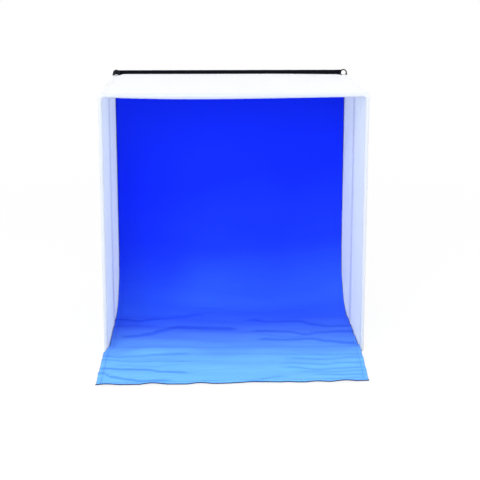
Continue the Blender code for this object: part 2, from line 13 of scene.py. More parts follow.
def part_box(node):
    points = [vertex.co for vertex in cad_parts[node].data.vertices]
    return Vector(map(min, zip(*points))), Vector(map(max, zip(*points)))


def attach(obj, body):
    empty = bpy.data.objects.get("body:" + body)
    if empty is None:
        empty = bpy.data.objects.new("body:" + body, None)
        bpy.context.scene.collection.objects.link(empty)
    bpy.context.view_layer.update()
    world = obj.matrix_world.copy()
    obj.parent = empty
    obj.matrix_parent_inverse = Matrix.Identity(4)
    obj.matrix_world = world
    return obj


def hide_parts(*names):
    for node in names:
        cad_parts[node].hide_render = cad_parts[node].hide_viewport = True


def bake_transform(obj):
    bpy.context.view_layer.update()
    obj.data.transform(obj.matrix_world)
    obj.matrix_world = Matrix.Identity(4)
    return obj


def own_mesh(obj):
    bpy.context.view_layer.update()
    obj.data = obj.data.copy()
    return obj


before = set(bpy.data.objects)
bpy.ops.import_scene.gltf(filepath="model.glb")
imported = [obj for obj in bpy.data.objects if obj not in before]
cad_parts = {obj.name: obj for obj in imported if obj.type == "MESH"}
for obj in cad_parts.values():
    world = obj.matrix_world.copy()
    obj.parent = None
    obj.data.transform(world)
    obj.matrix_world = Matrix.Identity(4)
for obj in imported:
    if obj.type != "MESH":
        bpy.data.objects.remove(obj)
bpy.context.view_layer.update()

MM = 0.001

# BOARD. A sheet of brown fibreboard stiffens the back. It is cut from pressed wood fibre,
# and is held only by the cloth and the binding sewn round it.


def node(tree, kind, inputs=None, **settings):
    """Adds a shader node with its settings. An input is set, or linked if it is a socket."""
    made = tree.nodes.new("ShaderNode" + kind)
    for name, value in settings.items():
        setattr(made, name, value)
    for name, value in (inputs or {}).items():
        if isinstance(value, bpy.types.NodeSocket):
            tree.links.new(value, made.inputs[name])
        else:
            made.inputs[name].default_value = value
    return made


def number(tree, operation, first, second=0.5, third=0.5):
    """A sum on one, two or three numbers."""
    sockets = {0: first, 1: second, 2: third}
    return node(tree, "Math", sockets, operation=operation).outputs[0]


def blended(tree, share, dark, light):
    """A colour between dark and light."""
    sockets = {0: share, 6: dark, 7: light}
    return node(tree, "Mix", sockets, data_type="RGBA").outputs[2]


def speckle(tree, vector, scale, detail=3.0):
    """Noise from 0 to 1. The scale is in spots per metre."""
    sockets = {"Vector": vector, "Scale": scale, "Detail": detail}
    return node(tree, "TexNoise", sockets).outputs["Fac"]


def relief(tree, height, depth, under=None):
    """A bump of that depth in metres, on top of another one if it is given."""
    sockets = {"Height": height, "Distance": depth, "Strength": 1.0}
    if under is not None:
        sockets["Normal"] = under
    return node(tree, "Bump", sockets).outputs[0]


def new_material(name, settings):
    """A material with one Principled shader and its plain settings."""
    made = bpy.data.materials.new(name)
    made.use_nodes = True
    shader = made.node_tree.nodes["Principled BSDF"]
    for socket, value in settings.items():
        shader.inputs[socket].default_value = value
    return made, made.node_tree, shader


def paint(tree, shader, colour, surface, through=0.0):
    """Gives a shader its colour and its surface. Through is the share of light that comes out of
    the other side, as it does through thin cloth."""
    tree.links.new(colour, shader.inputs["Base Color"])
    tree.links.new(surface, shader.inputs["Normal"])
    if through:
        behind = node(tree, "BsdfTranslucent", {"Color": colour, "Normal": surface})
        both = node(tree, "MixShader", {0: through, 1: shader.outputs[0], 2: behind.outputs[0]})
        tree.links.new(both.outputs[0], tree.nodes["Material Output"].inputs["Surface"])


BOARD_DARK = (0.10, 0.055, 0.028, 1)
BOARD_LIGHT = (0.24, 0.15, 0.085, 1)
FIBRES_PER_METRE = 700
FIBRE_RELIEF = 0.15 * MM

fibreboard, tree, shader = new_material("fibreboard", {"Roughness": 0.88})
place = node(tree, "TexCoord").outputs["Object"]
flecks = speckle(tree, place, FIBRES_PER_METRE, 6.0)
fibre_colour = blended(tree, flecks, BOARD_DARK, BOARD_LIGHT)
paint(tree, shader, fibre_colour, relief(tree, flecks, FIBRE_RELIEF))


def recoat(node_name, finish):
    """Gives a CAD piece whose shape is right its real finish."""
    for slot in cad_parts[node_name].material_slots:
        slot.material = finish


recoat("back_board", fibreboard)

# WIRES. Round spring steel, bent to a closed loop: one in the front hoop and one in each half
# wall. It is drawn bright, with fine marks along it, and lies hidden in the sewn sleeves.
STEEL_DARK = (0.46, 0.47, 0.49, 1)
STEEL_LIGHT = (0.72, 0.73, 0.75, 1)
DRAW_MARKS_PER_METRE = 1200
DRAW_MARK_RELIEF = 0.02 * MM

spring_steel, tree, shader = new_material("spring_steel", {"Metallic": 1.0})
place = node(tree, "TexCoord").outputs["Object"]
drawn = speckle(tree, place, DRAW_MARKS_PER_METRE, 2.0)
steel_colour = blended(tree, drawn, STEEL_DARK, STEEL_LIGHT)
paint(tree, shader, steel_colour, relief(tree, drawn, DRAW_MARK_RELIEF))
tree.links.new(number(tree, "MULTIPLY_ADD", drawn, 0.2, 0.25), shader.inputs["Roughness"])

for wire in ("hoop", "left_rear", "left_front", "right_rear", "right_front"):
    recoat(f"{wire}_wire", spring_steel)

# BACK LINING AND COVER. White nylon faces the inside and black nylon the outside. Both are
# stretched over the board, with slack ripples near the seams, and are held by the binding.


def new_group(name, inputs, outputs):
    """An empty node group with named sockets."""
    group = bpy.data.node_groups.new(name, "ShaderNodeTree")
    for socket, kind in inputs:
        group.interface.new_socket(socket, in_out="INPUT", socket_type="NodeSocket" + kind)
    for socket in outputs:
        group.interface.new_socket(socket, in_out="OUTPUT", socket_type="NodeSocketFloat")
    entry = group.nodes.new("NodeGroupInput")
    result = group.nodes.new("NodeGroupOutput")
    return group, entry.outputs, result.inputs


STREAKS_PER_METRE = 600
STREAK_STRETCH = 0.035
CREASE_STRETCH = 0.35
PUCKER_SCALE = 3.5

# Plain weave: threads that pass over and under each other, and streaks of thicker thread
weave, given, result = new_group(
    "weave", [("Cut", "Vector"), ("Threads per metre", "Float")], ["Height", "Streaks"]
)
turns = number(weave, "MULTIPLY", given["Threads per metre"], math.pi)
phase = node(weave, "VectorMath", {0: given["Cut"], "Scale": turns}, operation="SCALE")
axes = node(weave, "SeparateXYZ", {0: phase.outputs[0]})
warp = number(weave, "SINE", axes.outputs["X"])
weft = number(weave, "SINE", axes.outputs["Y"])
crossing = number(weave, "MULTIPLY", warp, weft)
weave.links.new(number(weave, "MULTIPLY_ADD", crossing, 0.5, 0.5), result["Height"])
streaks = []
for stretch in ((1.0, STREAK_STRETCH, 1.0), (STREAK_STRETCH, 1.0, 1.0)):
    drawn_out = node(weave, "VectorMath", {0: given["Cut"], 1: stretch}, operation="MULTIPLY")
    streaks.append(speckle(weave, drawn_out.outputs[0], STREAKS_PER_METRE, 2.0))
weave.links.new(number(weave, "MULTIPLY", number(weave, "ADD", *streaks), 0.5), result["Streaks"])

# Handling creases: long soft ones across the cloth, and small puckers in between
creases, given, result = new_group("creases", [("Cut", "Vector"), ("Scale", "Float")], ["Height"])
stretch = (CREASE_STRETCH, 1.0, 1.0)
drawn_out = node(creases, "VectorMath", {0: given["Cut"], 1: stretch}, operation="MULTIPLY")
wide = speckle(creases, drawn_out.outputs[0], given["Scale"], 2.0)
small = speckle(creases, given["Cut"], number(creases, "MULTIPLY", given["Scale"], PUCKER_SCALE), 3.0)
creases.links.new(number(creases, "MULTIPLY_ADD", small, 0.3, wide), result["Height"])

CREASES_PER_METRE = 28.0
NYLON_THREADS = 1500
BLACK_NYLON_THREADS = 1300


def cloth_material(name, dark, light, settings, threads, thread_depth, crease_depth, through=0.0):
    """Woven cloth. Its colour wanders between dark and light with threads and streaks, and the creases
    are painted lighter on their ridges and darker in their hollows, as painted shade.
    """
    made, tree, shader = new_material(name, settings)
    cut = node(tree, "TexCoord").outputs["UV"]
    woven = node(tree, "Group", {"Cut": cut, "Threads per metre": threads}, node_tree=weave)
    creased = node(tree, "Group", {"Cut": cut, "Scale": CREASES_PER_METRE}, node_tree=creases)
    shade = number(tree, "MULTIPLY_ADD", woven.outputs["Height"], 0.3, -0.15)
    shade = number(tree, "MULTIPLY_ADD", woven.outputs["Streaks"], 0.7, shade)
    # Painted shade: the crease relief also darkens the colour in its hollows and lightens it on its
    # ridges
    shade = number(tree, "MULTIPLY_ADD", creased.outputs["Height"], 0.35, shade)
    colour = blended(tree, shade, dark, light)
    threads_up = relief(tree, woven.outputs["Height"], thread_depth)
    surface = relief(tree, creased.outputs["Height"], crease_depth, threads_up)
    paint(tree, shader, colour, surface, through)
    return made


WHITE_DARK = (0.88, 0.89, 0.91, 1)
WHITE_LIGHT = (0.94, 0.945, 0.955, 1)
BLACK_DARK = (0.004, 0.004, 0.006, 1)
BLACK_LIGHT = (0.016, 0.017, 0.022, 1)
WHITE_SETTINGS = {"Roughness": 0.62, "Specular IOR Level": 0.2}
BLACK_SETTINGS = {"Roughness": 0.42, "Specular IOR Level": 0.3}

white_lining = cloth_material(
    "white_lining",
    WHITE_DARK,
    WHITE_LIGHT,
    WHITE_SETTINGS,
    NYLON_THREADS,
    thread_depth=0.05 * MM,
    crease_depth=0.5 * MM,
)
black_nylon = cloth_material(
    "black_nylon",
    BLACK_DARK,
    BLACK_LIGHT,
    BLACK_SETTINGS,
    BLACK_NYLON_THREADS,
    thread_depth=0.07 * MM,
    crease_depth=0.9 * MM,
)

SHARP_ANGLE = math.radians(42)
MERGE_DISTANCE = 0.001 * MM


def put_in_scene(name, data):
    """An object for a mesh, a curve, a light or a camera."""
    made = bpy.data.objects.new(name, data)
    bpy.context.scene.collection.objects.link(made)
    return made


def add_piece(name, work, finish, body, nodes=()):
    """Makes a finished bmesh a piece, with its material, its body and the nodes it stands for."""
    mesh = bpy.data.meshes.new(name)
    work.to_mesh(mesh)
    work.free()
    mesh.shade_smooth()
    mesh.set_sharp_from_angle(angle=SHARP_ANGLE)
    mesh.materials.append(finish)
    piece = put_in_scene(name, mesh)
    if body:
        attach(piece, body)
    if nodes:
        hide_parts(*nodes)
    return piece


def mesh_now(thing):
    """The mesh that an object has with its modifiers or its curve's bevel applied."""
    graph = bpy.context.evaluated_depsgraph_get()
    return bpy.data.meshes.new_from_object(thing.evaluated_get(graph))


def bake(piece):
    """Applies the piece's modifiers, so that its mesh is final."""
    baked = mesh_now(piece)
    baked.set_sharp_from_angle(angle=SHARP_ANGLE)
    piece.modifiers.clear()
    piece.data = baked


def stops(length, spacing, lines=()):
    """Places across a cloth: even ones, and given lines in from both of its edges."""
    sharp = [*lines, *(length - line for line in lines)]
    count = max(2, round(length / spacing))
    even = [length * step / count for step in range(count + 1)]
    inner = [p for p in even[1:-1] if all(abs(p - line) > spacing / 2 for line in sharp)]
    return sorted([0.0, *inner, *sharp, length])


def cloth(name, across_at, along_at, lay, thickness, finish, body, nodes=()):
    """A sheet of cloth: a flat grid with its lines at the given places, laid and thickened.
    Its uv map is the flat cut in metres, so that weave and creases keep to the cloth."""
    work = bmesh.new()
    columns = len(across_at) - 1
    rows = len(along_at) - 1
    bmesh.ops.create_grid(work, x_segments=columns, y_segments=rows, size=0.5)
    for vertex in work.verts:
        column = round((vertex.co.x + 0.5) * columns)
        row = round((vertex.co.y + 0.5) * rows)
        vertex.co = (across_at[column], along_at[row], 0)
    cut = work.loops.layers.uv.new("cut")
    for face in work.faces:
        for loop in face.loops:
            loop[cut].uv = loop.vert.co.xy
    for vertex in work.verts:
        vertex.co = lay(vertex.co.x, vertex.co.y)
    piece = add_piece(name, work, finish, body, nodes)
    solid = piece.modifiers.new("thickness", "SOLIDIFY")
    solid.thickness = thickness
    solid.offset = 0
    bake(piece)
    return piece


def rounded(across, along, width, length, radius):
    """Draws a square cut's corners in to arcs, without folding the grid over itself."""
    beyond_x = max(abs(across - width / 2) - (width / 2 - radius), 0)
    beyond_y = max(abs(along - length / 2) - (length / 2 - radius), 0)
    reach = math.hypot(beyond_x, beyond_y)
    if beyond_x == 0 or beyond_y == 0:
        return across, along
    pull = 1 - max(beyond_x, beyond_y) / reach
    across -= math.copysign(beyond_x * pull, across - width / 2)
    along -= math.copysign(beyond_y * pull, along - length / 2)
    return across, along


def ripple(across, along, spacing, seed):
    """Smooth unevenness from -1 to 1, with spots about that far apart."""
    return noise.noise(Vector((across / spacing, along / spacing, seed)))


def flat_size(node_name):
    """A flat upright CAD piece's low corner, width, height and middle depth."""
    low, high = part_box(node_name)
    return low, high.x - low.x, high.z - low.z, (low.y + high.y) / 2


BACK_CLOTH_THICKNESS = 0.5 * MM
BACK_CLOTH_RIPPLE = 0.14 * MM
BACK_CLOTH_GRID = 5 * MM
LONG_RIPPLES = 45 * MM
SHORT_RIPPLES = 14 * MM
SHORT_RIPPLE_SHARE = 0.6
BACK_CORNER_RADIUS = 10 * MM

binding_low, binding_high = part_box("back_binding")
BACK_WIDTH = binding_high.x - binding_low.x
BACK_HEIGHT = binding_high.z - binding_low.z
BACK_DEPTH = binding_high.y - binding_low.y
BACK_MIDDLE = (binding_low + binding_high) / 2

for name, node_name, finish, slot, seed in (
    ("back_lining_cloth", "back_lining", white_lining, "white_nylon", 3.1),
    ("back_cover_cloth", "back_cover", black_nylon, "black_nylon", 7.7),
):
    low, width, height, middle_y = flat_size(node_name)

    def lay_back_cloth(across, along):
        across, along = rounded(across, along, width, height, BACK_CORNER_RADIUS)
        wave = ripple(across, along, LONG_RIPPLES, seed)
        wave += SHORT_RIPPLE_SHARE * ripple(across, along, SHORT_RIPPLES, seed)
        return (low.x + across, middle_y + BACK_CLOTH_RIPPLE * wave, low.z + along)

    piece = cloth(
        name,
        stops(width, BACK_CLOTH_GRID),
        stops(height, BACK_CLOTH_GRID),
        lay_back_cloth,
        BACK_CLOTH_THICKNESS,
        finish,
        "back",
        [node_name],
    )

# BINDING. Black ribbed tape folded round the edge of board, lining and cover, and sewn through
# all of them with two rows of black thread. Its corners are eased round, and it puckers a little.
TAPE_THREADS = 1800.0


def rib_material(name, dark, light, settings, ribs, rib_depth, through=0.0):
    """Woven tape or webbing, with ribs across its length and uneven threads along it."""
    made, tree, shader = new_material(name, settings)
    cut = node(tree, "TexCoord").outputs["UV"]
    axes = node(tree, "SeparateXYZ", {0: cut})
    phase = number(tree, "MULTIPLY", axes.outputs["X"], ribs * 2 * math.pi)
    rib = number(tree, "MULTIPLY_ADD", number(tree, "SINE", phase), 0.5, 0.5)
    woven = node(tree, "Group", {"Cut": cut, "Threads per metre": TAPE_THREADS}, node_tree=weave)
    height = number(tree, "MULTIPLY_ADD", woven.outputs["Height"], 0.35, rib)
    shade = number(tree, "MULTIPLY_ADD", woven.outputs["Streaks"], 0.6, 0.0)
    shade = number(tree, "MULTIPLY_ADD", rib, 0.4, shade)
    paint(tree, shader, blended(tree, shade, dark, light), relief(tree, height, rib_depth), through)
    return made


TAPE_DARK = (0.0014, 0.0018, 0.0045, 1)
TAPE_LIGHT = (0.0040, 0.0048, 0.0105, 1)
TAPE_SETTINGS = {"Roughness": 0.6, "Specular IOR Level": 0.03}
TAPE_RIBS = 900
TAPE_RIB_RELIEF = 0.12 * MM

black_tape = rib_material(
    "black_binding_tape", TAPE_DARK, TAPE_LIGHT, TAPE_SETTINGS, TAPE_RIBS, TAPE_RIB_RELIEF
)


def made_verts(geometry):
    """The corners of what a bmesh operator made."""
    return [part for part in geometry if isinstance(part, bmesh.types.BMVert)]


def made_edges(geometry):
    """The open edges of what a bmesh operator made."""
    return [part for part in geometry if isinstance(part, bmesh.types.BMEdge) and part.is_boundary]


def swept_frame(profile, width, height, radius, step, place):
    """Carries a closed profile of (inset, depth) points round a rectangle in the XZ plane.
    The uv map runs in metres along the rectangle, and round the profile."""
    work = bmesh.new()
    run_at = work.verts.layers.float.new("run")
    girth_at = work.verts.layers.float.new("girth")
    start = Vector((radius - width / 2, 0, -height / 2))
    ring = [work.verts.new(start + Vector((0, depth, inset))) for inset, depth in profile]
    edges = [work.edges.new(pair) for pair in zip(ring, ring[1:] + ring[:1])]
    girth = 0.0
    for vertex, edge in zip(ring, edges):
        vertex[girth_at] = girth
        girth += edge.calc_length()
    travelled = 0.0
    heading = Vector((1, 0, 0))
    corner = Vector((width / 2 - radius, 0, radius - height / 2))
    corner_steps = max(4, round(radius * math.pi / 2 / step))
    for side in range(4):
        straight = (height if side % 2 else width) - 2 * radius
        straight_steps = round(straight / step)
        for move in range(straight_steps + corner_steps):
            made = bmesh.ops.extrude_edge_only(work, edges=edges)["geom"]
            moved = made_verts(made)
            edges = made_edges(made)
            if move < straight_steps:
                length = straight / straight_steps
                bmesh.ops.translate(work, verts=moved, vec=heading * length)
            else:
                turn = Matrix.Rotation(-math.pi / 2 / corner_steps, 3, "Y")
                length = radius * math.pi / 2 / corner_steps
                bmesh.ops.rotate(work, verts=moved, cent=corner, matrix=turn)
            travelled += length
            for vertex in moved:
                vertex[run_at] = travelled
        heading = Matrix.Rotation(-math.pi / 2, 3, "Y") @ heading
        next_straight = (width if side % 2 else height) - 2 * radius
        corner = corner + heading * next_straight
    cut = work.loops.layers.uv.new("cut")
    for face in work.faces:
        rounds = [loop.vert[girth_at] for loop in face.loops]
        past_start = max(rounds) > girth / 2
        for loop, value in zip(face.loops, rounds):
            wrapped = value + girth if past_start and value < girth / 4 else value
            loop[cut].uv = (loop.vert[run_at], wrapped)
    bmesh.ops.remove_doubles(work, verts=work.verts, dist=MERGE_DISTANCE)
    bmesh.ops.recalc_face_normals(work, faces=work.faces)
    bmesh.ops.transform(work, matrix=place, verts=work.verts)
    return work


def pucker(work, depth, spacing, seed):
    """Makes a sewn surface slightly uneven, as thread tension does."""
    work.normal_update()
    for vertex in work.verts:
        vertex.co += vertex.normal * depth * noise.noise(vertex.co / spacing + Vector((seed, 0, 0)))


BINDING_FLANGE = 8 * MM
BINDING_THICKNESS = 0.8 * MM
BINDING_NOSE = 1.8 * MM
BINDING_SEAM_INSET = 6.3 * MM
BINDING_SEAM_DIP = 0.14 * MM
BINDING_SEAM_WIDTH = 1.1 * MM
BINDING_LIP = 0.2 * MM
BINDING_LIP_RUN = 0.7 * MM
BINDING_LIP_STEP = 0.05 * MM
BINDING_STEP = 5 * MM
BINDING_PUCKER = 0.12 * MM
BINDING_PUCKER_SPACING = 9 * MM
BINDING_STITCH_LIFT = 0.05 * MM
NOSE_STEPS = 4

half_depth = BACK_DEPTH / 2
front_side = [
    (BINDING_FLANGE, half_depth - BINDING_THICKNESS / 2),
    (BINDING_FLANGE - BINDING_LIP, half_depth - BINDING_LIP / 2),
    (BINDING_FLANGE - BINDING_LIP_RUN, half_depth),
    (BINDING_SEAM_INSET, half_depth - BINDING_SEAM_DIP),
    (BINDING_SEAM_INSET - BINDING_SEAM_WIDTH, half_depth),
]
for step in range(NOSE_STEPS + 1):
    angle = math.pi / 2 * step / NOSE_STEPS
    inset = BINDING_NOSE * (1 - math.sin(angle))
    front_side.append((inset, half_depth - BINDING_NOSE * (1 - math.cos(angle))))
inner_side = [
    (BINDING_THICKNESS, half_depth - BINDING_NOSE),
    (BINDING_NOSE, half_depth - BINDING_THICKNESS),
    (BINDING_FLANGE - BINDING_LIP, half_depth - BINDING_THICKNESS + BINDING_LIP_STEP),
]
outer = [(inset, -depth) for inset, depth in front_side] + front_side[::-1]
inner = inner_side[::-1] + [(inset, -depth) for inset, depth in inner_side]
binding = swept_frame(
    outer + inner,
    BACK_WIDTH,
    BACK_HEIGHT,
    BACK_CORNER_RADIUS,
    BINDING_STEP,
    Matrix.Translation(BACK_MIDDLE),
)
pucker(binding, BINDING_PUCKER, BINDING_PUCKER_SPACING, 1.3)
add_piece("back_binding_tape", binding, black_tape, "back", ["back_binding"])

# BLACK THREAD. Lockstitches of waxed black thread, each a short bead with its ends sunk in the
# tape. The two rows of the binding go through board, lining and cover.
TWISTS_PER_METRE = 2600
TONES_PER_METRE = 260
TWIST_RELIEF = 0.05 * MM


def thread_material(name, dark, light):
    """Twisted sewing thread, uneven in colour from stitch to stitch."""
    made, tree, shader = new_material(name, {"Roughness": 0.55, "Specular IOR Level": 0.1})
    place = node(tree, "TexCoord").outputs["Object"]
    twist = speckle(tree, place, TWISTS_PER_METRE, 1.0)
    tone = speckle(tree, place, TONES_PER_METRE, 1.0)
    shade = number(tree, "MULTIPLY_ADD", twist, 0.5, number(tree, "MULTIPLY", tone, 0.5))
    paint(tree, shader, blended(tree, shade, dark, light), relief(tree, twist, TWIST_RELIEF))
    return made


STITCH_PITCH = 3.3 * MM
STITCH_SIZE = (2.5 * MM, 0.6 * MM, 0.36 * MM)
STITCH_SLANT = math.radians(5)


def stitches(name, lines, finish, body):
    """Rows of stitches as one mesh. Each line is a list of (place, way up) pairs to follow."""
    bead = bpy.data.meshes.new("stitch")
    shape = bmesh.new()
    size = Matrix.Diagonal((*(edge / 2 for edge in STITCH_SIZE), 1))
    slant = Matrix.Rotation(STITCH_SLANT, 4, "Z")
    bmesh.ops.create_uvsphere(shape, u_segments=6, v_segments=4, radius=1, matrix=slant @ size)
    shape.to_mesh(bead)
    shape.free()
    work = bmesh.new()
    for line in lines:
        ahead = STITCH_PITCH / 2
        for (start, up), (end, _) in zip(line, line[1:]):
            length = (end - start).length
            if length == 0:
                continue
            along = (end - start) / length
            side = up.cross(along).normalized()
            axes = Matrix((along, side, along.cross(side))).transposed().to_4x4()
            while ahead < length:
                place = Matrix.Translation(start + along * ahead) @ axes
                bead.transform(place)
                work.from_mesh(bead, face_normals=False)
                bead.transform(place.inverted())
                ahead += STITCH_PITCH
            ahead -= length
    bpy.data.meshes.remove(bead)
    return add_piece(name, work, finish, body)


QUARTER_STEPS = 5


def rectangle_line(width, height, radius, place, up):
    """A seam line round a rectangle with rounded corners, for stitches to follow."""
    line = []
    for quarter, (side, level) in enumerate(((1, 1), (-1, 1), (-1, -1), (1, -1))):
        for step in range(QUARTER_STEPS + 1):
            angle = math.pi / 2 * (quarter + step / QUARTER_STEPS)
            across = side * (width / 2 - radius) + radius * math.cos(angle)
            along = level * (height / 2 - radius) + radius * math.sin(angle)
            line.append((place @ Vector((across, 0, along)), up))
    return line + line[:1]


black_thread = thread_material("black_thread", BLACK_DARK, (0.022, 0.022, 0.028, 1))
seam_width = BACK_WIDTH - 2 * BINDING_SEAM_INSET
seam_height = BACK_HEIGHT - 2 * BINDING_SEAM_INSET
seam_radius = BACK_CORNER_RADIUS - BINDING_SEAM_INSET
seam_lines = []
for facing in (-1, 1):
    outward = Vector((0, facing, 0))
    off_middle = half_depth - BINDING_SEAM_DIP + BINDING_STITCH_LIFT
    seam_place = Matrix.Translation(BACK_MIDDLE + off_middle * outward)
    seam_lines.append(rectangle_line(seam_width, seam_height, seam_radius, seam_place, outward))
stitches("back_binding_stitches", seam_lines, black_thread, "back")

# CARRYING HANDLE. A strap of heavy black webbing on the cover, for the folded tent. Its ends lie
# flat and are sewn down under two nylon patches, each with a box of stitches and a cross.
webbing_low, webbing_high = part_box("carry_handle")
HANDLE_WIDTH = webbing_high.z - webbing_low.z
HANDLE_THICKNESS = 1.6 * MM
HANDLE_TAB_LENGTH = 26 * MM
HANDLE_HALF = (webbing_high.x - webbing_low.x) / 2
HANDLE_BOW_HALF = HANDLE_HALF - HANDLE_TAB_LENGTH
HANDLE_FOOT_Y = webbing_low.y + HANDLE_THICKNESS / 2
HANDLE_BOW = webbing_high.y - webbing_low.y - HANDLE_THICKNESS
HANDLE_CURL = 0.5 * MM
WEBBING_SELVEDGE = 0.8 * MM
WEBBING_CLOTH_THICKNESS = 1.5 * MM
WEBBING_ROW = 2 * MM
WEBBING_COLUMN = 2.5 * MM
WEBBING_RIBS = 420
WEBBING_RIB_RELIEF = 0.35 * MM
WEBBING_SETTINGS = {"Roughness": 0.6, "Specular IOR Level": 0.25}

black_webbing = rib_material(
    "black_webbing", BLACK_DARK, BLACK_LIGHT, WEBBING_SETTINGS, WEBBING_RIBS, WEBBING_RIB_RELIEF
)


def webbing_place(share):
    """Where the strap's middle line is: flat at its ends, and bowed out between them."""
    x = HANDLE_HALF * (2 * share - 1)
    bow = 0.0
    if abs(x) < HANDLE_BOW_HALF:
        bow = HANDLE_BOW * (1 + math.cos(math.pi * x / HANDLE_BOW_HALF)) / 2
    return x, HANDLE_FOOT_Y + bow


def webbing_length(steps=200):
    places = [webbing_place(step / steps) for step in range(steps + 1)]
    return sum(math.dist(a, b) for a, b in zip(places, places[1:]))


HANDLE_LENGTH = webbing_length()


def lay_webbing(along, across):
    x, y = webbing_place(along / HANDLE_LENGTH)
    crown = 1 - (2 * across / HANDLE_WIDTH - 1) ** 6
    sag = HANDLE_CURL * math.sin(math.pi * along / HANDLE_LENGTH) * (crown - 1)
    return (x, y + sag, webbing_low.z + across)


cloth(
    "carry_handle_webbing",
    stops(HANDLE_LENGTH, WEBBING_ROW),
    stops(HANDLE_WIDTH, WEBBING_COLUMN, (WEBBING_SELVEDGE,)),
    lay_webbing,
    WEBBING_CLOTH_THICKNESS,
    black_webbing,
    "back",
    ["carry_handle"],
)

SIDES = (("left", -1), ("right", 1))
PATCH_SEAM_INSET = 2.2 * MM
PATCH_SEAM_WIDTH = 1.2 * MM
PATCH_SEAM_DIP = 0.08 * MM
PATCH_RIPPLE = 0.1 * MM
PATCH_RIPPLES = 6 * MM
PATCH_CORNER = 3 * MM
PATCH_GRID = 1.5 * MM
PATCH_THICKNESS = 0.7 * MM

patch_lines = []
for side, sign in SIDES:
    low, width, height, middle_y = flat_size(f"{side}_handle_patch")
    outer_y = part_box(f"{side}_handle_patch")[1].y

    def lay_patch(across, along):
        off_seam = (min(across, width - across) - PATCH_SEAM_INSET) / PATCH_SEAM_WIDTH
        across, along = rounded(across, along, width, height, PATCH_CORNER)
        wave = PATCH_RIPPLE * ripple(across, along, PATCH_RIPPLES, sign * 4.4)
        y = middle_y + wave - PATCH_SEAM_DIP * math.exp(-(off_seam**2))
        return (low.x + across, y, low.z + along)

    cloth(
        f"{side}_handle_patch_cloth",
        stops(width, PATCH_GRID),
        stops(height, PATCH_GRID),
        lay_patch,
        PATCH_THICKNESS,
        black_nylon,
        "back",
        [f"{side}_handle_patch"],
    )
    centre = Vector((low.x + width / 2, outer_y, low.z + height / 2))
    half_x = width / 2 - PATCH_SEAM_INSET
    half_z = height / 2 - PATCH_SEAM_INSET
    outward = Vector((0, 1, 0))
    box_line = rectangle_line(2 * half_x, 2 * half_z, MM, Matrix.Translation(centre), outward)
    crosses = [
        [(centre + Vector((end * half_x, 0, end * rise * half_z)), outward) for end in (-1, 1)]
        for rise in (1, -1)
    ]
    patch_lines += [box_line, *crosses]
stitches("handle_stitches", patch_lines, black_thread, "back")

# FRONT HOOP. Spring wire in a sewn sleeve of white nylon, which is the white hem round the mouth
# of the tent. The sleeve is stitched shut along its inner side, and wrinkles between stitches.
HOOP_BEND_RADIUS = 8 * MM
hoop_low, hoop_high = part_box("hoop_sleeve")
HOOP_WIDTH = hoop_high.x - hoop_low.x
HOOP_HEIGHT = hoop_high.z - hoop_low.z
HOOP_MIDDLE = (hoop_low + hoop_high) / 2
SLEEVE_RADIUS = (hoop_high.y - hoop_low.y) / 2
SLEEVE_SIDES = 18

HEM_DARK = (0.82, 0.86, 0.92, 1)
HEM_LIGHT = (0.88, 0.915, 0.955, 1)
HEM_THROUGH = 0.4
SEAM_HALF_TURN = 0.35

sleeve_cloth = (WHITE_SETTINGS, NYLON_THREADS, 0.06 * MM, 0.7 * MM)
white_hem = cloth_material("white_hem", HEM_DARK, HEM_LIGHT, *sleeve_cloth, HEM_THROUGH)
white_thread = thread_material("white_thread", (0.70, 0.71, 0.73, 1), (0.88, 0.88, 0.90, 1))


def sleeve_profile(radius, seam_turn, seam_dip):
    """A round sleeve as (inset, depth) points, drawn in a little where its seam is sewn."""
    points = []
    for side in range(SLEEVE_SIDES):
        angle = 2 * math.pi * side / SLEEVE_SIDES
        off_seam = math.remainder(angle - seam_turn, 2 * math.pi)
        reach = radius - seam_dip * math.exp(-((off_seam / SEAM_HALF_TURN) ** 2))
        points.append((radius + reach * math.cos(angle), reach * math.sin(angle)))
    return points


HOOP_SEAM_TURN = -math.radians(38)
HOOP_SEAM_DIP = 0.35 * MM
HOOP_CLOTH_CORNER = 4 * MM
HOOP_HEM_SAG = 2.6 * MM
HOOP_HEM_SAG_SLANT = 0.6
HOOP_STEP = 3 * MM
HOOP_PUCKER = 0.16 * MM
PUCKER_SPACING = 7 * MM
HOOP_STITCH_SINK_SHARE = 0.92
HOOP_STITCH_INSET_SHARE = 0.97
hoop_outer_radius = HOOP_BEND_RADIUS + SLEEVE_RADIUS
hoop = swept_frame(
    sleeve_profile(SLEEVE_RADIUS, HOOP_SEAM_TURN, HOOP_SEAM_DIP),
    HOOP_WIDTH,
    HOOP_HEIGHT,
    hoop_outer_radius,
    HOOP_STEP,
    Matrix.Translation(HOOP_MIDDLE),
)
for vertex in hoop.verts:
    # The cloth is cut square, so outside the wire's bend it stands out to a sharper corner
    x = abs(vertex.co.x - HOOP_MIDDLE.x) - (HOOP_WIDTH / 2 - hoop_outer_radius)
    z = abs(vertex.co.z - HOOP_MIDDLE.z) - (HOOP_HEIGHT / 2 - hoop_outer_radius)
    reach = math.hypot(x, z)
    if x > 0 and z > 0 and reach > HOOP_BEND_RADIUS:
        straight = hoop_outer_radius - HOOP_CLOTH_CORNER
        limit = hoop_outer_radius * reach / max(x, z)
        if limit * min(x, z) / reach > straight:
            lined_up = straight * (x + z) / reach
            limit = lined_up + math.sqrt(lined_up**2 - 2 * straight**2 + HOOP_CLOTH_CORNER**2)
        pulled = (limit - hoop_outer_radius) * ((reach - HOOP_BEND_RADIUS) / SLEEVE_RADIUS) ** 1.5
        vertex.co.x += math.copysign(pulled * x / reach, vertex.co.x - HOOP_MIDDLE.x)
        vertex.co.z += math.copysign(pulled * z / reach, vertex.co.z - HOOP_MIDDLE.z)
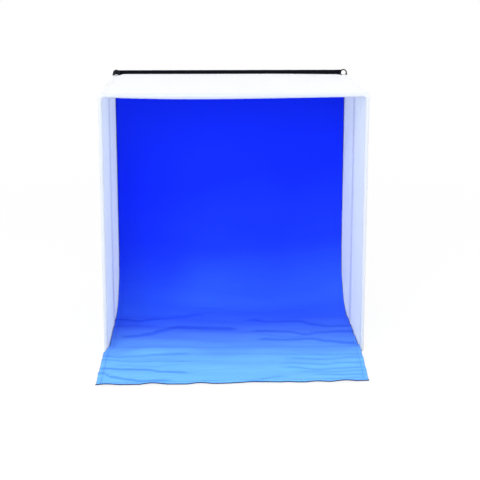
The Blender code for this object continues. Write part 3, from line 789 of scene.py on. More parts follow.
for vertex in hoop.verts:
    # Along the top the hem hangs a little below its wire, most of all in the middle
    below_top = (hoop_high.z - vertex.co.z) / (2 * SLEEVE_RADIUS)
    along_top = (vertex.co.x - HOOP_MIDDLE.x) / (HOOP_WIDTH / 2 - hoop_outer_radius)
    if 0 < below_top < 1.05 and abs(along_top) < 1:
        hang = (1 - along_top**2) * (1 - HOOP_HEM_SAG_SLANT * along_top)
        vertex.co.z -= HOOP_HEM_SAG * min(below_top, 1) ** 1.5 * hang
pucker(hoop, HOOP_PUCKER, PUCKER_SPACING, 5.0)
add_piece("hoop_hem", hoop, white_hem, "front_hoop", ["hoop_sleeve"])

seam_inset = SLEEVE_RADIUS * (1 + math.cos(HOOP_SEAM_TURN))
seam_depth = SLEEVE_RADIUS * math.sin(HOOP_SEAM_TURN)
seam_place = Matrix.Translation(HOOP_MIDDLE + Vector((0, seam_depth * HOOP_STITCH_SINK_SHARE, 0)))
hoop_line = rectangle_line(
    HOOP_WIDTH - 2 * seam_inset * HOOP_STITCH_INSET_SHARE,
    HOOP_HEIGHT - 2 * seam_inset * HOOP_STITCH_INSET_SHARE,
    hoop_outer_radius - seam_inset,
    seam_place,
    Vector((0, -1, 0)),
)
stitches("hoop_stitches", [hoop_line], white_thread, "front_hoop")

# HINGE TAPES. Narrow white ribbed tapes at the four corners of the tent, where a wall is sewn
# to the back's binding or to the hoop. They run short of the top and the bottom.
WHITE_TAPE_RIBS = 800
WHITE_TAPE_RELIEF = 0.1 * MM
WHITE_TAPE_THROUGH = 0.8
HINGE_TAPE_THICKNESS = 0.7 * MM
HINGE_TAPE_RIPPLE = 0.05 * MM
HINGE_TAPE_RIPPLES = 8 * MM
HINGE_TAPE_ROW = 4 * MM
HINGE_TAPE_COLUMN = 1.3 * MM

white_tape = rib_material(
    "white_tape",
    WHITE_DARK,
    WHITE_LIGHT,
    WHITE_SETTINGS,
    WHITE_TAPE_RIBS,
    WHITE_TAPE_RELIEF,
    WHITE_TAPE_THROUGH,
)

for side in ("left", "right"):
    for end, body in (("rear", "back"), ("front", "front_hoop")):
        node_name = f"{side}_{end}_hinge_tape"
        low, width, height, middle_y = flat_size(node_name)

        def lay_tape(along, across):
            wave = HINGE_TAPE_RIPPLE * ripple(across, along, HINGE_TAPE_RIPPLES, low.x)
            return (low.x + across, middle_y + wave, low.z + along)

        cloth(
            f"{side}_{end}_corner_tape",
            stops(height, HINGE_TAPE_ROW),
            stops(width, HINGE_TAPE_COLUMN),
            lay_tape,
            HINGE_TAPE_THICKNESS,
            white_tape,
            body,
            [node_name],
        )

# SIDE WALLS. Each wall is two panels of thin white nylon that lets light through, stretched on
# a loop of wire. The panel lies flush with the inner side of the sleeve that holds the wire.
WALL_BEND_RADIUS = 5 * MM
WALL_CLOTH_THICKNESS = 0.5 * MM
WALL_CLOTH_SETBACK = 0.05 * MM
WALL_OVER_FOLD = 0.22 * MM
WALL_BILLOW = 1.0 * MM
WALL_RIPPLE = 0.16 * MM
WALL_SEAM_DIP = 0.25 * MM
WALL_HEM = 4.6 * MM
WALL_CLOTH_CORNER = 2.0 * MM
WALL_LONG_RIPPLES = 60 * MM
WALL_SHORT_RIPPLES = 18 * MM
WALL_SHORT_RIPPLE_SHARE = 0.4
WALL_PUCKER = 0.1 * MM
WALL_SLEEVE_GAP = 0.1 * MM
WALL_SLEEVE_STEP = 4 * MM
WALL_COLUMN = 4 * MM
WALL_ROW = 5 * MM
COOL = (0.87, 0.92, 0.96, 1), (0.91, 0.955, 0.985, 1)
# The doubled cloth is painted lighter than the single wall cloth: painted light over the shade that wires
# and sleeves cast at the fold
DOUBLED_AND_LIGHTENED = (0.935, 0.965, 0.98, 1), (0.965, 0.985, 0.99, 1)

thin_cloth = (WHITE_SETTINGS, NYLON_THREADS, 0.04 * MM, 0.5 * MM)
wall_nylon = cloth_material("wall_nylon", *COOL, *thin_cloth, through=0.54)
doubled_nylon = cloth_material("doubled_nylon", *DOUBLED_AND_LIGHTENED, *thin_cloth, through=0.1)
wall_sleeve_nylon = cloth_material("wall_sleeve_nylon", *COOL, *sleeve_cloth, through=0.85)

for side, sign in SIDES:
    for end in ("rear", "front"):
        body = f"{side}_{end}_wall"
        node_name = f"{side}_{end}_panel"
        low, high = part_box(node_name)
        middle = (low + high) / 2
        length = high.y - low.y
        cut_height = high.z - low.z
        tube = (high.x - low.x) / 2
        inner_x = middle.x - sign * tube
        upright = Matrix.Translation(middle) @ Matrix.Rotation(math.pi / 2, 4, "Z")
        outer_radius = WALL_BEND_RADIUS + tube
        flat = tube - WALL_CLOTH_SETBACK - WALL_CLOTH_THICKNESS - WALL_SLEEVE_GAP
        profile = [
            (inset, sign * min(sign * depth, flat))
            for inset, depth in sleeve_profile(tube, 0, WALL_SEAM_DIP)
        ]
        sleeve = swept_frame(profile, length, cut_height, outer_radius, WALL_SLEEVE_STEP, upright)
        pucker(sleeve, WALL_PUCKER, PUCKER_SPACING, sign * 3.0)
        sleeve_piece = add_piece(
            f"{side}_{end}_wall_sleeve", sleeve, wall_sleeve_nylon, body
        )

        cut_length = length + WALL_OVER_FOLD
        start_y = low.y - (WALL_OVER_FOLD if end == "rear" else 0)

        def lay_wall(along, up):
            share, rise = along / cut_length, up / cut_height
            slack = 16 * share * (1 - share) * rise * (1 - rise)
            wave = ripple(along, up, WALL_LONG_RIPPLES, 2.0 * sign)
            wave += WALL_SHORT_RIPPLE_SHARE * ripple(along, up, WALL_SHORT_RIPPLES, sign)
            out = WALL_CLOTH_SETBACK + WALL_CLOTH_THICKNESS / 2 + WALL_BILLOW * slack
            out += WALL_RIPPLE * (1 + wave) * min(slack * 4, 1)
            along, up = rounded(along, up, cut_length, cut_height, WALL_CLOTH_CORNER)
            return (inner_x + sign * out, start_y + along, low.z + up)

        panel = cloth(
            f"{side}_{end}_wall_cloth",
            stops(cut_length, WALL_COLUMN, (WALL_HEM,)),
            stops(cut_height, WALL_ROW, (WALL_HEM,)),
            lay_wall,
            WALL_CLOTH_THICKNESS,
            wall_nylon,
            body,
            [node_name],
        )
        # Along its edges the cloth is doubled, where it is sewn to the sleeve. The doubled band lets less
        # light through, and is painted lighter than the wall, as painted light that fills in the shade
        # wires, sleeves and tape cast at the fold
        panel.data.materials.append(doubled_nylon)
        for face in panel.data.polygons:
            along = face.center.y - start_y
            up = face.center.z - low.z
            if min(along, cut_length - along, up, cut_height - up) < WALL_HEM:
                face.material_index = 1

# CREASE TAPES. One soft white tape down the outside of each wall joins its two panels, and is
# the hinge that they fold on. It is sewn to each sleeve with two rows of white thread.
CREASE_FLAT = 1.2 * MM
CREASE_SEAMS = (3.4 * MM, 9.6 * MM)
CREASE_TAPE_THICKNESS = 0.6 * MM
CREASE_TAPE_RIPPLE = 0.06 * MM
CREASE_TAPE_GRIP = 4 * MM
CREASE_TAPE_COLUMN = 1.6 * MM
CREASE_TAPE_ROW = 5 * MM
CREASE_FINE_STEPS = 6

for side, sign in SIDES:
    rear_low, rear_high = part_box(f"{side}_rear_crease_tape")
    front_low, front_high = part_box(f"{side}_front_crease_tape")
    tape_x = (rear_low.x + rear_high.x) / 2
    fold_y = (rear_low.y + front_high.y) / 2
    width = rear_high.y - front_low.y
    height = rear_high.z - rear_low.z
    fine_steps = range(-CREASE_FINE_STEPS, CREASE_FINE_STEPS + 1)
    fine = [width / 2 + CREASE_FLAT * step / CREASE_FINE_STEPS for step in fine_steps]
    coarse = stops(width, CREASE_TAPE_COLUMN)
    coarse = [place for place in coarse if abs(place - width / 2) > CREASE_FLAT * 1.3]

    def lay_crease_tape(across, along):
        y = front_low.y + across
        grip = min(abs(y - fold_y) / CREASE_TAPE_GRIP, 1)
        wave = CREASE_TAPE_RIPPLE * ripple(y, along, PUCKER_SPACING, sign * 2.5) * grip
        return (tape_x + sign * wave, y, front_low.z + along)

    tape = cloth(
        f"{side}_crease_tape",
        sorted(coarse + fine),
        stops(height, CREASE_TAPE_ROW),
        lay_crease_tape,
        CREASE_TAPE_THICKNESS,
        white_tape,
        None,
        [f"{side}_rear_crease_tape", f"{side}_front_crease_tape"],
    )
    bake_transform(tape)
    outward = Vector((sign, 0, 0))
    stitch_x = tape_x + sign * CREASE_TAPE_THICKNESS / 2
    for end, away in (("rear", 1), ("front", -1)):
        rows = [
            [(Vector((stitch_x, fold_y + away * seam, z)), outward) for z in (rear_low.z, rear_high.z)]
            for seam in CREASE_SEAMS
        ]
        stitches(f"{side}_{end}_crease_stitches", rows, white_thread, f"{side}_{end}_wall")

# ROOF. One sheet of thin white nylon between the hoop and the back. It sags in the middle, its
# sides draw in under tension, and a hem of doubled cloth runs along each side.
ROOF_HEM = 6 * MM
ROOF_HEM_RISE = 0.3 * MM
ROOF_SAG = 0.6 * MM
ROOF_SAG_AT_HEM_SHARE = 0.35
ROOF_LEFT_BOW = 4 * MM
ROOF_RIGHT_BOW = 1.5 * MM
ROOF_RIPPLE = 0.3 * MM
ROOF_LONG_RIPPLES = 70 * MM
ROOF_SHORT_RIPPLES = 16 * MM
ROOF_EDGE_TUCK = 11 * MM
ROOF_GRID = 4 * MM
ROOF_THICKNESS = 0.6 * MM
ROOF_SETBACK = 0.4 * MM
HEM_STEP = 0.3 * MM
ROOF_SIDE_LINES = (ROOF_HEM - HEM_STEP, ROOF_HEM + HEM_STEP, 2 * MM)
ROOF_END_LINES = (1.5 * MM, 6 * MM)
ROOF_SEAM_INSET = ROOF_HEM - 1.6 * MM
ROOF_COLOURS = (0.93, 0.94, 0.935, 1), (0.975, 0.98, 0.97, 1)
ROOF_REAR_RISE = 1.9 * MM
ROOF_RISE_START = 22 * MM
BUTTON_CLEARANCE = 5.5 * MM
BUTTON_EASE_RUN = 6 * MM
BUTTON_PLACES = [(sum(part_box(f"{side}_corner_button"), Vector()) / 2).xy for side in ("left", "right")]

roof_nylon = cloth_material("roof_nylon", *ROOF_COLOURS, *thin_cloth, through=0.27)

roof_low, roof_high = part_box("roof_panel")
roof_width = roof_high.x - roof_low.x
roof_length = roof_high.y - roof_low.y
roof_z = roof_high.z - ROOF_SETBACK


def eased(share):
    """Goes smoothly from 0 to 1."""
    share = min(max(share, 0), 1)
    return share * share * (3 - 2 * share)


def lay_roof(across, along):
    sideways = 2 * across / roof_width - 1
    back = along / roof_length
    slack = 1 - (2 * back - 1) ** 2
    bow = ROOF_LEFT_BOW if sideways < 0 else ROOF_RIGHT_BOW
    x = sideways * (roof_width / 2 - bow * slack)
    sag_share = ROOF_SAG_AT_HEM_SHARE + (1 - ROOF_SAG_AT_HEM_SHARE) * slack
    z = roof_z - ROOF_SAG * (1 - sideways**2) * sag_share
    in_hem = min(across, roof_width - across) < ROOF_HEM
    z += ROOF_HEM_RISE if in_hem else 0.0
    wave = ripple(across, along, ROOF_LONG_RIPPLES, 9.0)
    wave += 0.5 * ripple(across * 0.4, along, ROOF_SHORT_RIPPLES, 5.0)
    z += ROOF_RIPPLE * wave * min(slack * 3, 1) * min((1 - abs(sideways)) * 12, 1)
    tuck = max(1 - along / ROOF_EDGE_TUCK, 0) ** 2
    past_bend = min(max(abs(x) - (HOOP_WIDTH / 2 - HOOP_CLOTH_CORNER), 0), HOOP_CLOTH_CORNER)
    z -= tuck * (HOOP_CLOTH_CORNER - math.sqrt(HOOP_CLOTH_CORNER**2 - past_bend**2))
    # Behind, it rises toward the back's top edge between the buttons, more so on the left
    here = Vector((x, roof_low.y + along))
    off_button = min((here - place).length for place in BUTTON_PLACES)
    free = eased((off_button - BUTTON_CLEARANCE) / BUTTON_EASE_RUN)
    free *= eased(min(across, roof_width - across) / ROOF_RISE_START)
    z += ROOF_REAR_RISE * free * eased(2.4 * back - 1.3) * (1 - 0.6 * eased(1.6 * sideways - 0.5))
    return (x, roof_low.y + along, z)


roof = cloth(
    "roof_cloth",
    stops(roof_width, ROOF_GRID, ROOF_SIDE_LINES),
    stops(roof_length, ROOF_GRID, ROOF_END_LINES),
    lay_roof,
    ROOF_THICKNESS,
    roof_nylon,
    "back",
    ["roof_panel"],
)
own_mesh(roof)

ROOF_STITCH_LIFT = 0.34 * MM
ROOF_SEAM_STEPS = 60
roof_rows = []
for near in (ROOF_SEAM_INSET, roof_width - ROOF_SEAM_INSET):
    line = []
    for step in range(ROOF_SEAM_STEPS + 1):
        x, y, z = lay_roof(near, roof_length * (0.02 + 0.96 * step / ROOF_SEAM_STEPS))
        line.append((Vector((x, y, z + ROOF_STITCH_LIFT)), Vector((0, 0, 1))))
    roof_rows.append(line)
roof_stitches = stitches("roof_hem_stitches", roof_rows, white_thread, "back")
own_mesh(roof_stitches)

# FLOOR. A flat sheet of the same white nylon under the backdrop, from the hoop to the back. It
# lies on the table, and is carried with the back.
floor_low, floor_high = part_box("floor_panel")
floor_width = floor_high.x - floor_low.x
floor_length = floor_high.y - floor_low.y
FLOOR_GRID = 6 * MM
FLOOR_THICKNESS = 0.5 * MM
FLOOR_RIPPLE = 0.08 * MM
FLOOR_RIPPLES = 30 * MM


def lay_floor(across, along):
    wave = FLOOR_RIPPLE * ripple(across, along, FLOOR_RIPPLES, 4.0)
    across, along = rounded(across, along, floor_width, floor_length, MM)
    return (floor_low.x + across, floor_low.y + along, (floor_low.z + floor_high.z) / 2 + wave)


tent_floor = cloth(
    "floor_cloth",
    stops(floor_width, FLOOR_GRID),
    stops(floor_length, FLOOR_GRID),
    lay_floor,
    FLOOR_THICKNESS,
    roof_nylon,
    "back",
    ["floor_panel"],
)
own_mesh(tent_floor)

# CORNER BUTTONS. A white moulded ball at each rear corner of the roof, which holds the roof up
# to the back. It has a moulding line round it and a small dimple in front, and a flat seat.
PLASTIC_DARK = (0.80, 0.80, 0.79, 1)
PLASTIC_LIGHT = (0.90, 0.90, 0.89, 1)
CLOUDS_PER_METRE = 420
PLASTIC_RELIEF = 0.03 * MM

white_plastic, tree, shader = new_material(
    "white_plastic", {"Roughness": 0.32, "Coat Weight": 0.15, "Coat Roughness": 0.2}
)
place = node(tree, "TexCoord").outputs["Object"]
cloudy = speckle(tree, place, CLOUDS_PER_METRE, 3.0)
plastic_colour = blended(tree, cloudy, PLASTIC_DARK, PLASTIC_LIGHT)
paint(tree, shader, plastic_colour, relief(tree, cloudy, PLASTIC_RELIEF))

BUTTON_LINE = 0.12 * MM
BUTTON_LINE_HALF_TURN = 0.07
BUTTON_TRIM = 0.05 * MM
BUTTON_MERGE_DISTANCE = 0.01 * MM
BUTTON_DIMPLE_RADIUS = 0.9 * MM
BUTTON_DIMPLE_DEPTH = 0.45 * MM
BUTTON_STEPS = 36
BUTTON_PROFILE_STEPS = 24

for side in ("left", "right"):
    low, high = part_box(f"{side}_corner_button")
    radius = (high.x - low.x) / 2
    centre = Vector(((low.x + high.x) / 2, (low.y + high.y) / 2, high.z - radius))
    work = bmesh.new()
    profile = []
    for step in range(BUTTON_PROFILE_STEPS + 1):
        angle = math.pi * step / BUTTON_PROFILE_STEPS
        swell = BUTTON_LINE * math.exp(-(((angle - math.pi / 2) / BUTTON_LINE_HALF_TURN) ** 2))
        reach = radius - BUTTON_TRIM + swell
        across = reach * math.sin(angle)
        dimple = BUTTON_DIMPLE_DEPTH * math.exp(-((across / BUTTON_DIMPLE_RADIUS) ** 4))
        ahead = reach * math.cos(angle) - (dimple if angle < 1 else 0)
        profile.append(work.verts.new((across, -ahead, 0)))
    edges = [work.edges.new(pair) for pair in zip(profile, profile[1:])]
    bmesh.ops.spin(
        work,
        geom=profile + edges,
        cent=(0, 0, 0),
        axis=(0, 1, 0),
        angle=2 * math.pi,
        steps=BUTTON_STEPS,
        use_merge=True,
    )
    bmesh.ops.remove_doubles(work, verts=work.verts, dist=BUTTON_MERGE_DISTANCE)
    seat = low.z - centre.z
    whole = work.verts[:] + work.edges[:] + work.faces[:]
    cut_open = bmesh.ops.bisect_plane(
        work, geom=whole, plane_co=(0, 0, seat), plane_no=(0, 0, -1), clear_outer=True
    )
    rim = [part for part in cut_open["geom_cut"] if isinstance(part, bmesh.types.BMEdge)]
    bmesh.ops.edgeloop_fill(work, edges=rim)
    bmesh.ops.recalc_face_normals(work, faces=work.faces)
    bmesh.ops.translate(work, verts=work.verts, vec=centre)
    add_piece(
        f"{side}_ball_button", work, white_plastic, "back", [f"{side}_corner_button"]
    )

# ELASTIC LOOPS. Braided black elastic over each button. The right one stands over its ball. The
# left one is wound five times and pulled forward, so that it hides the ball from the front.
BRAID_TURN_PER_METRE = 9000.0
BRAID_RELIEF = 0.12 * MM
ELASTIC_SETTINGS = {"Roughness": 0.6, "Specular IOR Level": 0.15}

black_elastic, tree, shader = new_material("black_elastic", ELASTIC_SETTINGS)
cut = node(tree, "TexCoord").outputs["UV"]
axes = node(tree, "SeparateXYZ", {0: cut})
strands = []
for turn in (BRAID_TURN_PER_METRE, -BRAID_TURN_PER_METRE):
    wound = number(tree, "MULTIPLY_ADD", axes.outputs["X"], turn, axes.outputs["Y"])
    strands.append(number(tree, "SINE", wound))
braid = number(tree, "MULTIPLY_ADD", number(tree, "MULTIPLY", *strands), 0.5, 0.5)
paint(tree, shader, blended(tree, braid, TAPE_DARK, TAPE_LIGHT), relief(tree, braid, BRAID_RELIEF))

ELASTIC_DIAMETER = 1.8 * MM
ELASTIC_SIDES = 12
ELASTIC_BEND_STEPS = 16
ELASTIC_FOOT_SLIDE = 2.6 * MM
ELASTIC_LEANS = {"left": (10, 32, 54, 76, 98), "right": (0,)}


def tube_along(points, diameter, sides):
    """A round cord along points, with closed ends. Its uv map is (metres along it, turn)."""
    work = bmesh.new()
    cut = work.loops.layers.uv.new("cut")
    run_at = work.verts.layers.float.new("run")
    turn_at = work.verts.layers.float.new("turn")
    travelled = 0.0
    edges = []
    for index, point in enumerate(points):
        before = points[max(index - 1, 0)]
        after = points[min(index + 1, len(points) - 1)]
        along = (after - before).normalized()
        side = along.cross(Vector((0, 1, 0))).normalized()
        frame_here = Matrix((side, along.cross(side), along)).transposed().to_4x4()
        if index:
            travelled += (point - before).length
        place = Matrix.Translation(point) @ frame_here
        if not edges:
            made = bmesh.ops.create_circle(work, segments=sides, radius=diameter / 2, matrix=place)
            verts = made["verts"]
            for v in verts:
                local = place.inverted() @ v.co
                v[turn_at] = math.atan2(local.y, local.x) % (2 * math.pi)
            edges = list({edge for v in verts for edge in v.link_edges})
        else:
            made = bmesh.ops.extrude_edge_only(work, edges=edges)["geom"]
            verts = made_verts(made)
            edges = [edge for edge in made_edges(made) if all(v in verts for v in edge.verts)]
            for v in verts:
                around = Vector((math.cos(v[turn_at]), math.sin(v[turn_at]), 0))
                v.co = place @ (around * (diameter / 2))
        for v in verts:
            v[run_at] = travelled
    for face in work.faces:
        turns = [loop.vert[turn_at] for loop in face.loops]
        wraps = max(turns) - min(turns) > math.pi
        for loop, turn in zip(face.loops, turns):
            loop[cut].uv = (loop.vert[run_at], turn + 2 * math.pi if wraps and turn < math.pi else turn)
    open_edges = [edge for edge in work.edges if edge.is_boundary]
    bmesh.ops.holes_fill(work, edges=open_edges, sides=sides)
    bmesh.ops.recalc_face_normals(work, faces=work.faces)
    return work


for side in ("left", "right"):
    low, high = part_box(f"{side}_elastic_loop")
    middle = (low + high) / 2
    loop_radius = (high.x - low.x - ELASTIC_DIAMETER) / 2
    bend_z = high.z - loop_radius - ELASTIC_DIAMETER / 2
    centre = Vector((middle.x, middle.y, bend_z))
    out = Vector((loop_radius, 0, 0))
    arc = [math.pi * step / ELASTIC_BEND_STEPS for step in range(ELASTIC_BEND_STEPS + 1)]
    arch = [Vector((loop_radius * math.cos(turn), 0, loop_radius * math.sin(turn))) for turn in arc]
    work = bmesh.new()
    for degrees in ELASTIC_LEANS[side]:
        lean = math.radians(degrees)
        foot = Vector((0, -ELASTIC_FOOT_SLIDE * math.sin(lean), low.z - bend_z))
        tipped = [Matrix.Rotation(lean, 3, "X") @ point for point in arch]
        points = [centre + point for point in (foot + out, *tipped, foot - out)]
        strand = tube_along(points, ELASTIC_DIAMETER, ELASTIC_SIDES)
        mesh = bpy.data.meshes.new("strand")
        strand.to_mesh(mesh)
        strand.free()
        work.from_mesh(mesh)
        bpy.data.meshes.remove(mesh)
    add_piece(f"{side}_elastic", work, black_elastic, "back", [f"{side}_elastic_loop"])

# HOOK AND LOOP STRIPS. White hook tape is sewn across the top of the lining, and white loop tape
# across the back of the backdrop, which hangs from the two pressed together.
HOOK_TIPS = (0.84, 0.85, 0.87, 1)
HOOK_GAPS = (0.62, 0.63, 0.66, 1)
HOOKS_PER_METRE = 900.0
HOOK_RELIEF = 0.3 * MM

strip_white, tree, shader = new_material("strip_white", {"Roughness": 0.95, "Sheen Weight": 0.3})
place = node(tree, "TexCoord").outputs["Object"]
hooks = node(tree, "TexVoronoi", {"Vector": place, "Scale": HOOKS_PER_METRE}).outputs["Distance"]
hook_colour = blended(tree, hooks, HOOK_TIPS, HOOK_GAPS)
paint(tree, shader, hook_colour, relief(tree, hooks, HOOK_RELIEF))

STRIP_GRID = 1.6 * MM
STRIP_THICKNESS = 0.6 * MM
STRIP_FUZZ = 0.04 * MM
STRIP_CORNER = 2 * MM

for name, node_name in (("hook_tape", "backdrop_hook_strip"), ("loop_tape", "backdrop_loop_strip")):
    low, width, height, middle_y = flat_size(node_name)

    def lay_strip(along, across):
        fuzz = STRIP_FUZZ * ripple(along, across, STRIP_GRID, middle_y)
        along, across = rounded(along, across, width, height, STRIP_CORNER)
        return (low.x + along, middle_y + fuzz, low.z + across)

    cloth(
        name,
        stops(width, STRIP_GRID),
        stops(height, STRIP_GRID),
        lay_strip,
        STRIP_THICKNESS,
        strip_white,
        "back",
        [node_name],
    )

# BACKDROP. One length of blue cloth. Its colour is painted paler toward its front end: painted light for
# the overhead light and sheen that the part on the floor and the table catches. It hangs from its strip,
# sweeps round onto the floor, climbs over the hoop's bottom bar and lies on the table, where it is free
# of the walls and spreads a little to the left. Packing folds and creases run across it, with painted
# shade along their front flanks.
BACKDROP_FIT = 0.3 * MM
BACKDROP_THICKNESS = 0.8 * MM
BACKDROP_CLOTH_THICKNESS = 0.6 * MM
BACKDROP_GRID = 4.6 * MM
SWEEP_RADIUS = 110 * MM
HUMP_REACH = 17 * MM
HUMP_CREST = 8.34 * MM
WALL_FOLD = 1.6 * MM
SWEEP_FOLD = 3.6 * MM
FLOOR_FOLD = 2.8 * MM
HUMP_FOLD = 0.6 * MM
APRON_FOLD = 2.2 * MM
FINE_AT_TOP = 0.1 * MM
FINE_AT_BEND = 0.3 * MM
FINE_ON_FLOOR = 0.9 * MM
FINE_ON_HUMP = 0.2 * MM
FINE_ON_APRON = 1.0 * MM
FOLD_SPACING = 52 * MM
WANDER_WAVES = ((1.05, 0.10, 0.55), (0.85, 0.30, 0.30))
WANDER_TURNS = 0.38
MAIN_WAVE_SHARE = 0.32
CROSS_WAVE_SHARE = 0.18
CROSS_WAVE_SLANT = 0.5
CROSS_WAVE_START = 0.18
WALL_ROWS = 40
SWEEP_ROWS = 58
FLOOR_ROWS = 82
HUMP_ROWS = 22
APRON_ROWS = 64
SIDE_HEM = 8 * MM
SIDE_HEM_LINES = (2.5 * MM, SIDE_HEM - HEM_STEP, SIDE_HEM + HEM_STEP)
FRONT_HEM = 10 * MM
FRONT_HEM_CLEARANCE = 1.5 * MM
FRONT_HEM_LINES = (-HEM_STEP, HEM_STEP, 2.5 * MM, 5 * MM, 7.5 * MM)
HEM_RISE = 0.3 * MM
BETWEEN_WALLS = 194.0 * MM
BETWEEN_HOOP_LEGS = 193.3 * MM
APRON_LEFT = 200.6 * MM
APRON_RIGHT = 195.8 * MM
FRONT_RIGHT = 190.2 * MM
FRONT_SKEW = 8.5 * MM
FRONT_CURL = 2.0 * MM
FRONT_CURL_RUN = 13 * MM
FRONT_CURL_SPACING = 34 * MM
SPREAD_START = 0.6 * MM
SPREAD_RUN = 8 * MM
HOOP_PINCH_RUN = 6 * MM
CLIMB_REACH = 9 * MM
CLIMB_RUN = 5 * MM
CLIMB_GAP = 1.1 * MM
FINE_DRIFT = 10 * MM
FINE_SPACING = 9 * MM
FINE_PATCHES = 45 * MM

# Creases in millimetres: height, half width, then places as (right of the middle, down the cloth)
CREASES = (
    (1.5, 5.0, ((-185, 461), (-155, 470), (-124, 460), (-84, 446), (-59, 438))),
    (1.2, 5.0, ((-182, 493), (-162, 490), (-139, 496))),
    (2.6, 6.5, ((-162, 552), (-137, 542), (-115, 527), (-91, 505), (-50, 509), (-9, 513))),
    (1.4, 3.0, ((-193, 650), (-174, 657), (-149, 653), (-123, 647), (-80, 646))),
    (1.2, 3.0, ((-195, 669), (-155, 677), (-110, 676), (-80, 679))),
    (0.8, 3.0, ((-169, 690), (-124, 696), (-94, 692))),
    (1.9, 3.6, ((-192, 703), (-168, 709), (-129, 712), (-108, 724), (-82, 726))),
    (1.7, 3.4, ((-194, 728), (-180, 741), (-154, 751), (-136, 758), (-107, 756))),
    (1.8, 5.0, ((35, 467), (63, 479), (106, 480), (136, 495), (160, 504), (191, 505))),
    (2.0, 5.5, ((41, 528), (84, 537), (115, 549), (140, 539), (173, 533), (191, 532))),
    (1.0, 4.5, ((49, 553), (78, 559), (100, 562))),
    (2.0, 5.0, ((50, 571), (81, 577), (121, 575), (144, 586), (183, 593))),
    (0.9, 3.0, ((145, 613), (163, 616), (184, 612))),
    (1.2, 2.8, ((67, 654), (100, 655), (139, 655), (178, 650))),
    (1.3, 3.0, ((93, 668), (136, 677), (183, 671))),
    (1.3, 3.0, ((79, 690), (112, 696), (134, 698), (157, 692), (184, 691))),
    (1.3, 3.0, ((84, 708), (125, 718), (155, 714), (183, 712))),
    (1.1, 2.8, ((102, 726), (138, 731), (183, 728))),
    (1.3, 3.0, ((127, 744), (151, 745), (180, 741))),
    (1.0, 2.8, ((143, 759), (177, 754))),
    (1.2, 3.5, ((27, 766), (59, 750))),
)
CREASE_TAPER = 24 * MM
CREASE_RISE = 1.3
CREASE_REACH = 30 * MM
# Painted shade along each crease: a dark line a little in front of its ridge, where light from above
# leaves the front flank in shade
SHADE_OFFSET_SHARE = 0.7
SHADE_WIDTH_SHARE = 0.65
FULL_CREASE_SHADE = 1.7

drop_low, drop_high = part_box("backdrop")
DROP_WIDTH = 391 * MM
DROP_REAR_Y = drop_high.y
DROP_TOP = drop_high.z
DROP_FRONT_Y = drop_low.y


def between(start, end, share):
    return start + (end - start) * share


def backdrop_rows():
    """The cloth's lie from its top to its front: (y, z, lean, fold height, fine crease height)."""
    half = BACKDROP_THICKNESS / 2
    wall_y = DROP_REAR_Y - half
    floor_z = floor_high.z + BACKDROP_FIT + half
    table_z = BACKDROP_FIT + half
    bend_z = floor_z + SWEEP_RADIUS
    bend_y = wall_y - SWEEP_RADIUS
    hump_rear_y = HOOP_MIDDLE.y + HUMP_REACH
    hump_front_y = HOOP_MIDDLE.y - HUMP_REACH
    flat = math.pi / 2
    rows = []
    for row in range(WALL_ROWS):
        share = row / WALL_ROWS
        z = between(DROP_TOP, bend_z, share)
        rows.append((wall_y, z, 0, WALL_FOLD * share, between(FINE_AT_TOP, FINE_AT_BEND, share)))
    for row in range(SWEEP_ROWS):
        share = row / SWEEP_ROWS
        lean = share * flat
        y = bend_y + SWEEP_RADIUS * math.cos(lean)
        z = bend_z - SWEEP_RADIUS * math.sin(lean)
        fine = between(FINE_AT_BEND, FINE_ON_FLOOR, share)
        rows.append((y, z, lean, between(WALL_FOLD, SWEEP_FOLD, share), fine))
    for row in range(FLOOR_ROWS):
        share = row / FLOOR_ROWS
        y = between(bend_y, hump_rear_y, share)
        rows.append((y, floor_z, flat, between(SWEEP_FOLD, FLOOR_FOLD, share), FINE_ON_FLOOR))
    for row in range(HUMP_ROWS):
        share = row / HUMP_ROWS
        y = between(hump_rear_y, hump_front_y, share)
        z = between(between(floor_z, table_z, share), HUMP_CREST, (1 - math.cos(2 * math.pi * share)) / 2)
        edge = abs(2 * share - 1)
        fine = between(FINE_ON_HUMP, FINE_ON_FLOOR, edge)
        rows.append((y, z, flat, between(HUMP_FOLD, FLOOR_FOLD, edge), fine))
    for row in range(APRON_ROWS + 1):
        share = row / APRON_ROWS
        y = between(hump_front_y, DROP_FRONT_Y, share)
        rows.append((y, table_z, flat, between(FLOOR_FOLD, APRON_FOLD, share), FINE_ON_APRON))
    return rows


def fold_share(across, run):
    """How far the main folds lift the cloth, from 0 to 1."""
    full = 2 * math.pi
    wander = sum(
        weight * math.sin(full * (waves * across + start)) for waves, start, weight in WANDER_WAVES
    )
    main = math.sin(full * (run / FOLD_SPACING + WANDER_TURNS * wander))
    slant = CROSS_WAVE_SLANT * (run / FOLD_SPACING - across) + CROSS_WAVE_START
    middle = MAIN_WAVE_SHARE + CROSS_WAVE_SHARE
    return middle + MAIN_WAVE_SHARE * main + CROSS_WAVE_SHARE * math.sin(full * slant)


def fine_creases(across, run):
    """Small creases that run across the cloth and fade in and out, from 0 to 1."""
    drift = FINE_DRIFT * noise.noise(Vector((across * 2.2, run * 7, 1.5)))
    ridge = noise.noise(Vector((across * 3.1, (run + drift) / FINE_SPACING, 4.0)))
    ridge = max(1 - abs(ridge) * 2.6, 0)
    patchy = 0.5 + 0.9 * noise.noise(Vector((across * 2.6 + 7, run / FINE_PATCHES, 2.0)))
    return ridge**2 * min(max(patchy, 0.08), 1)


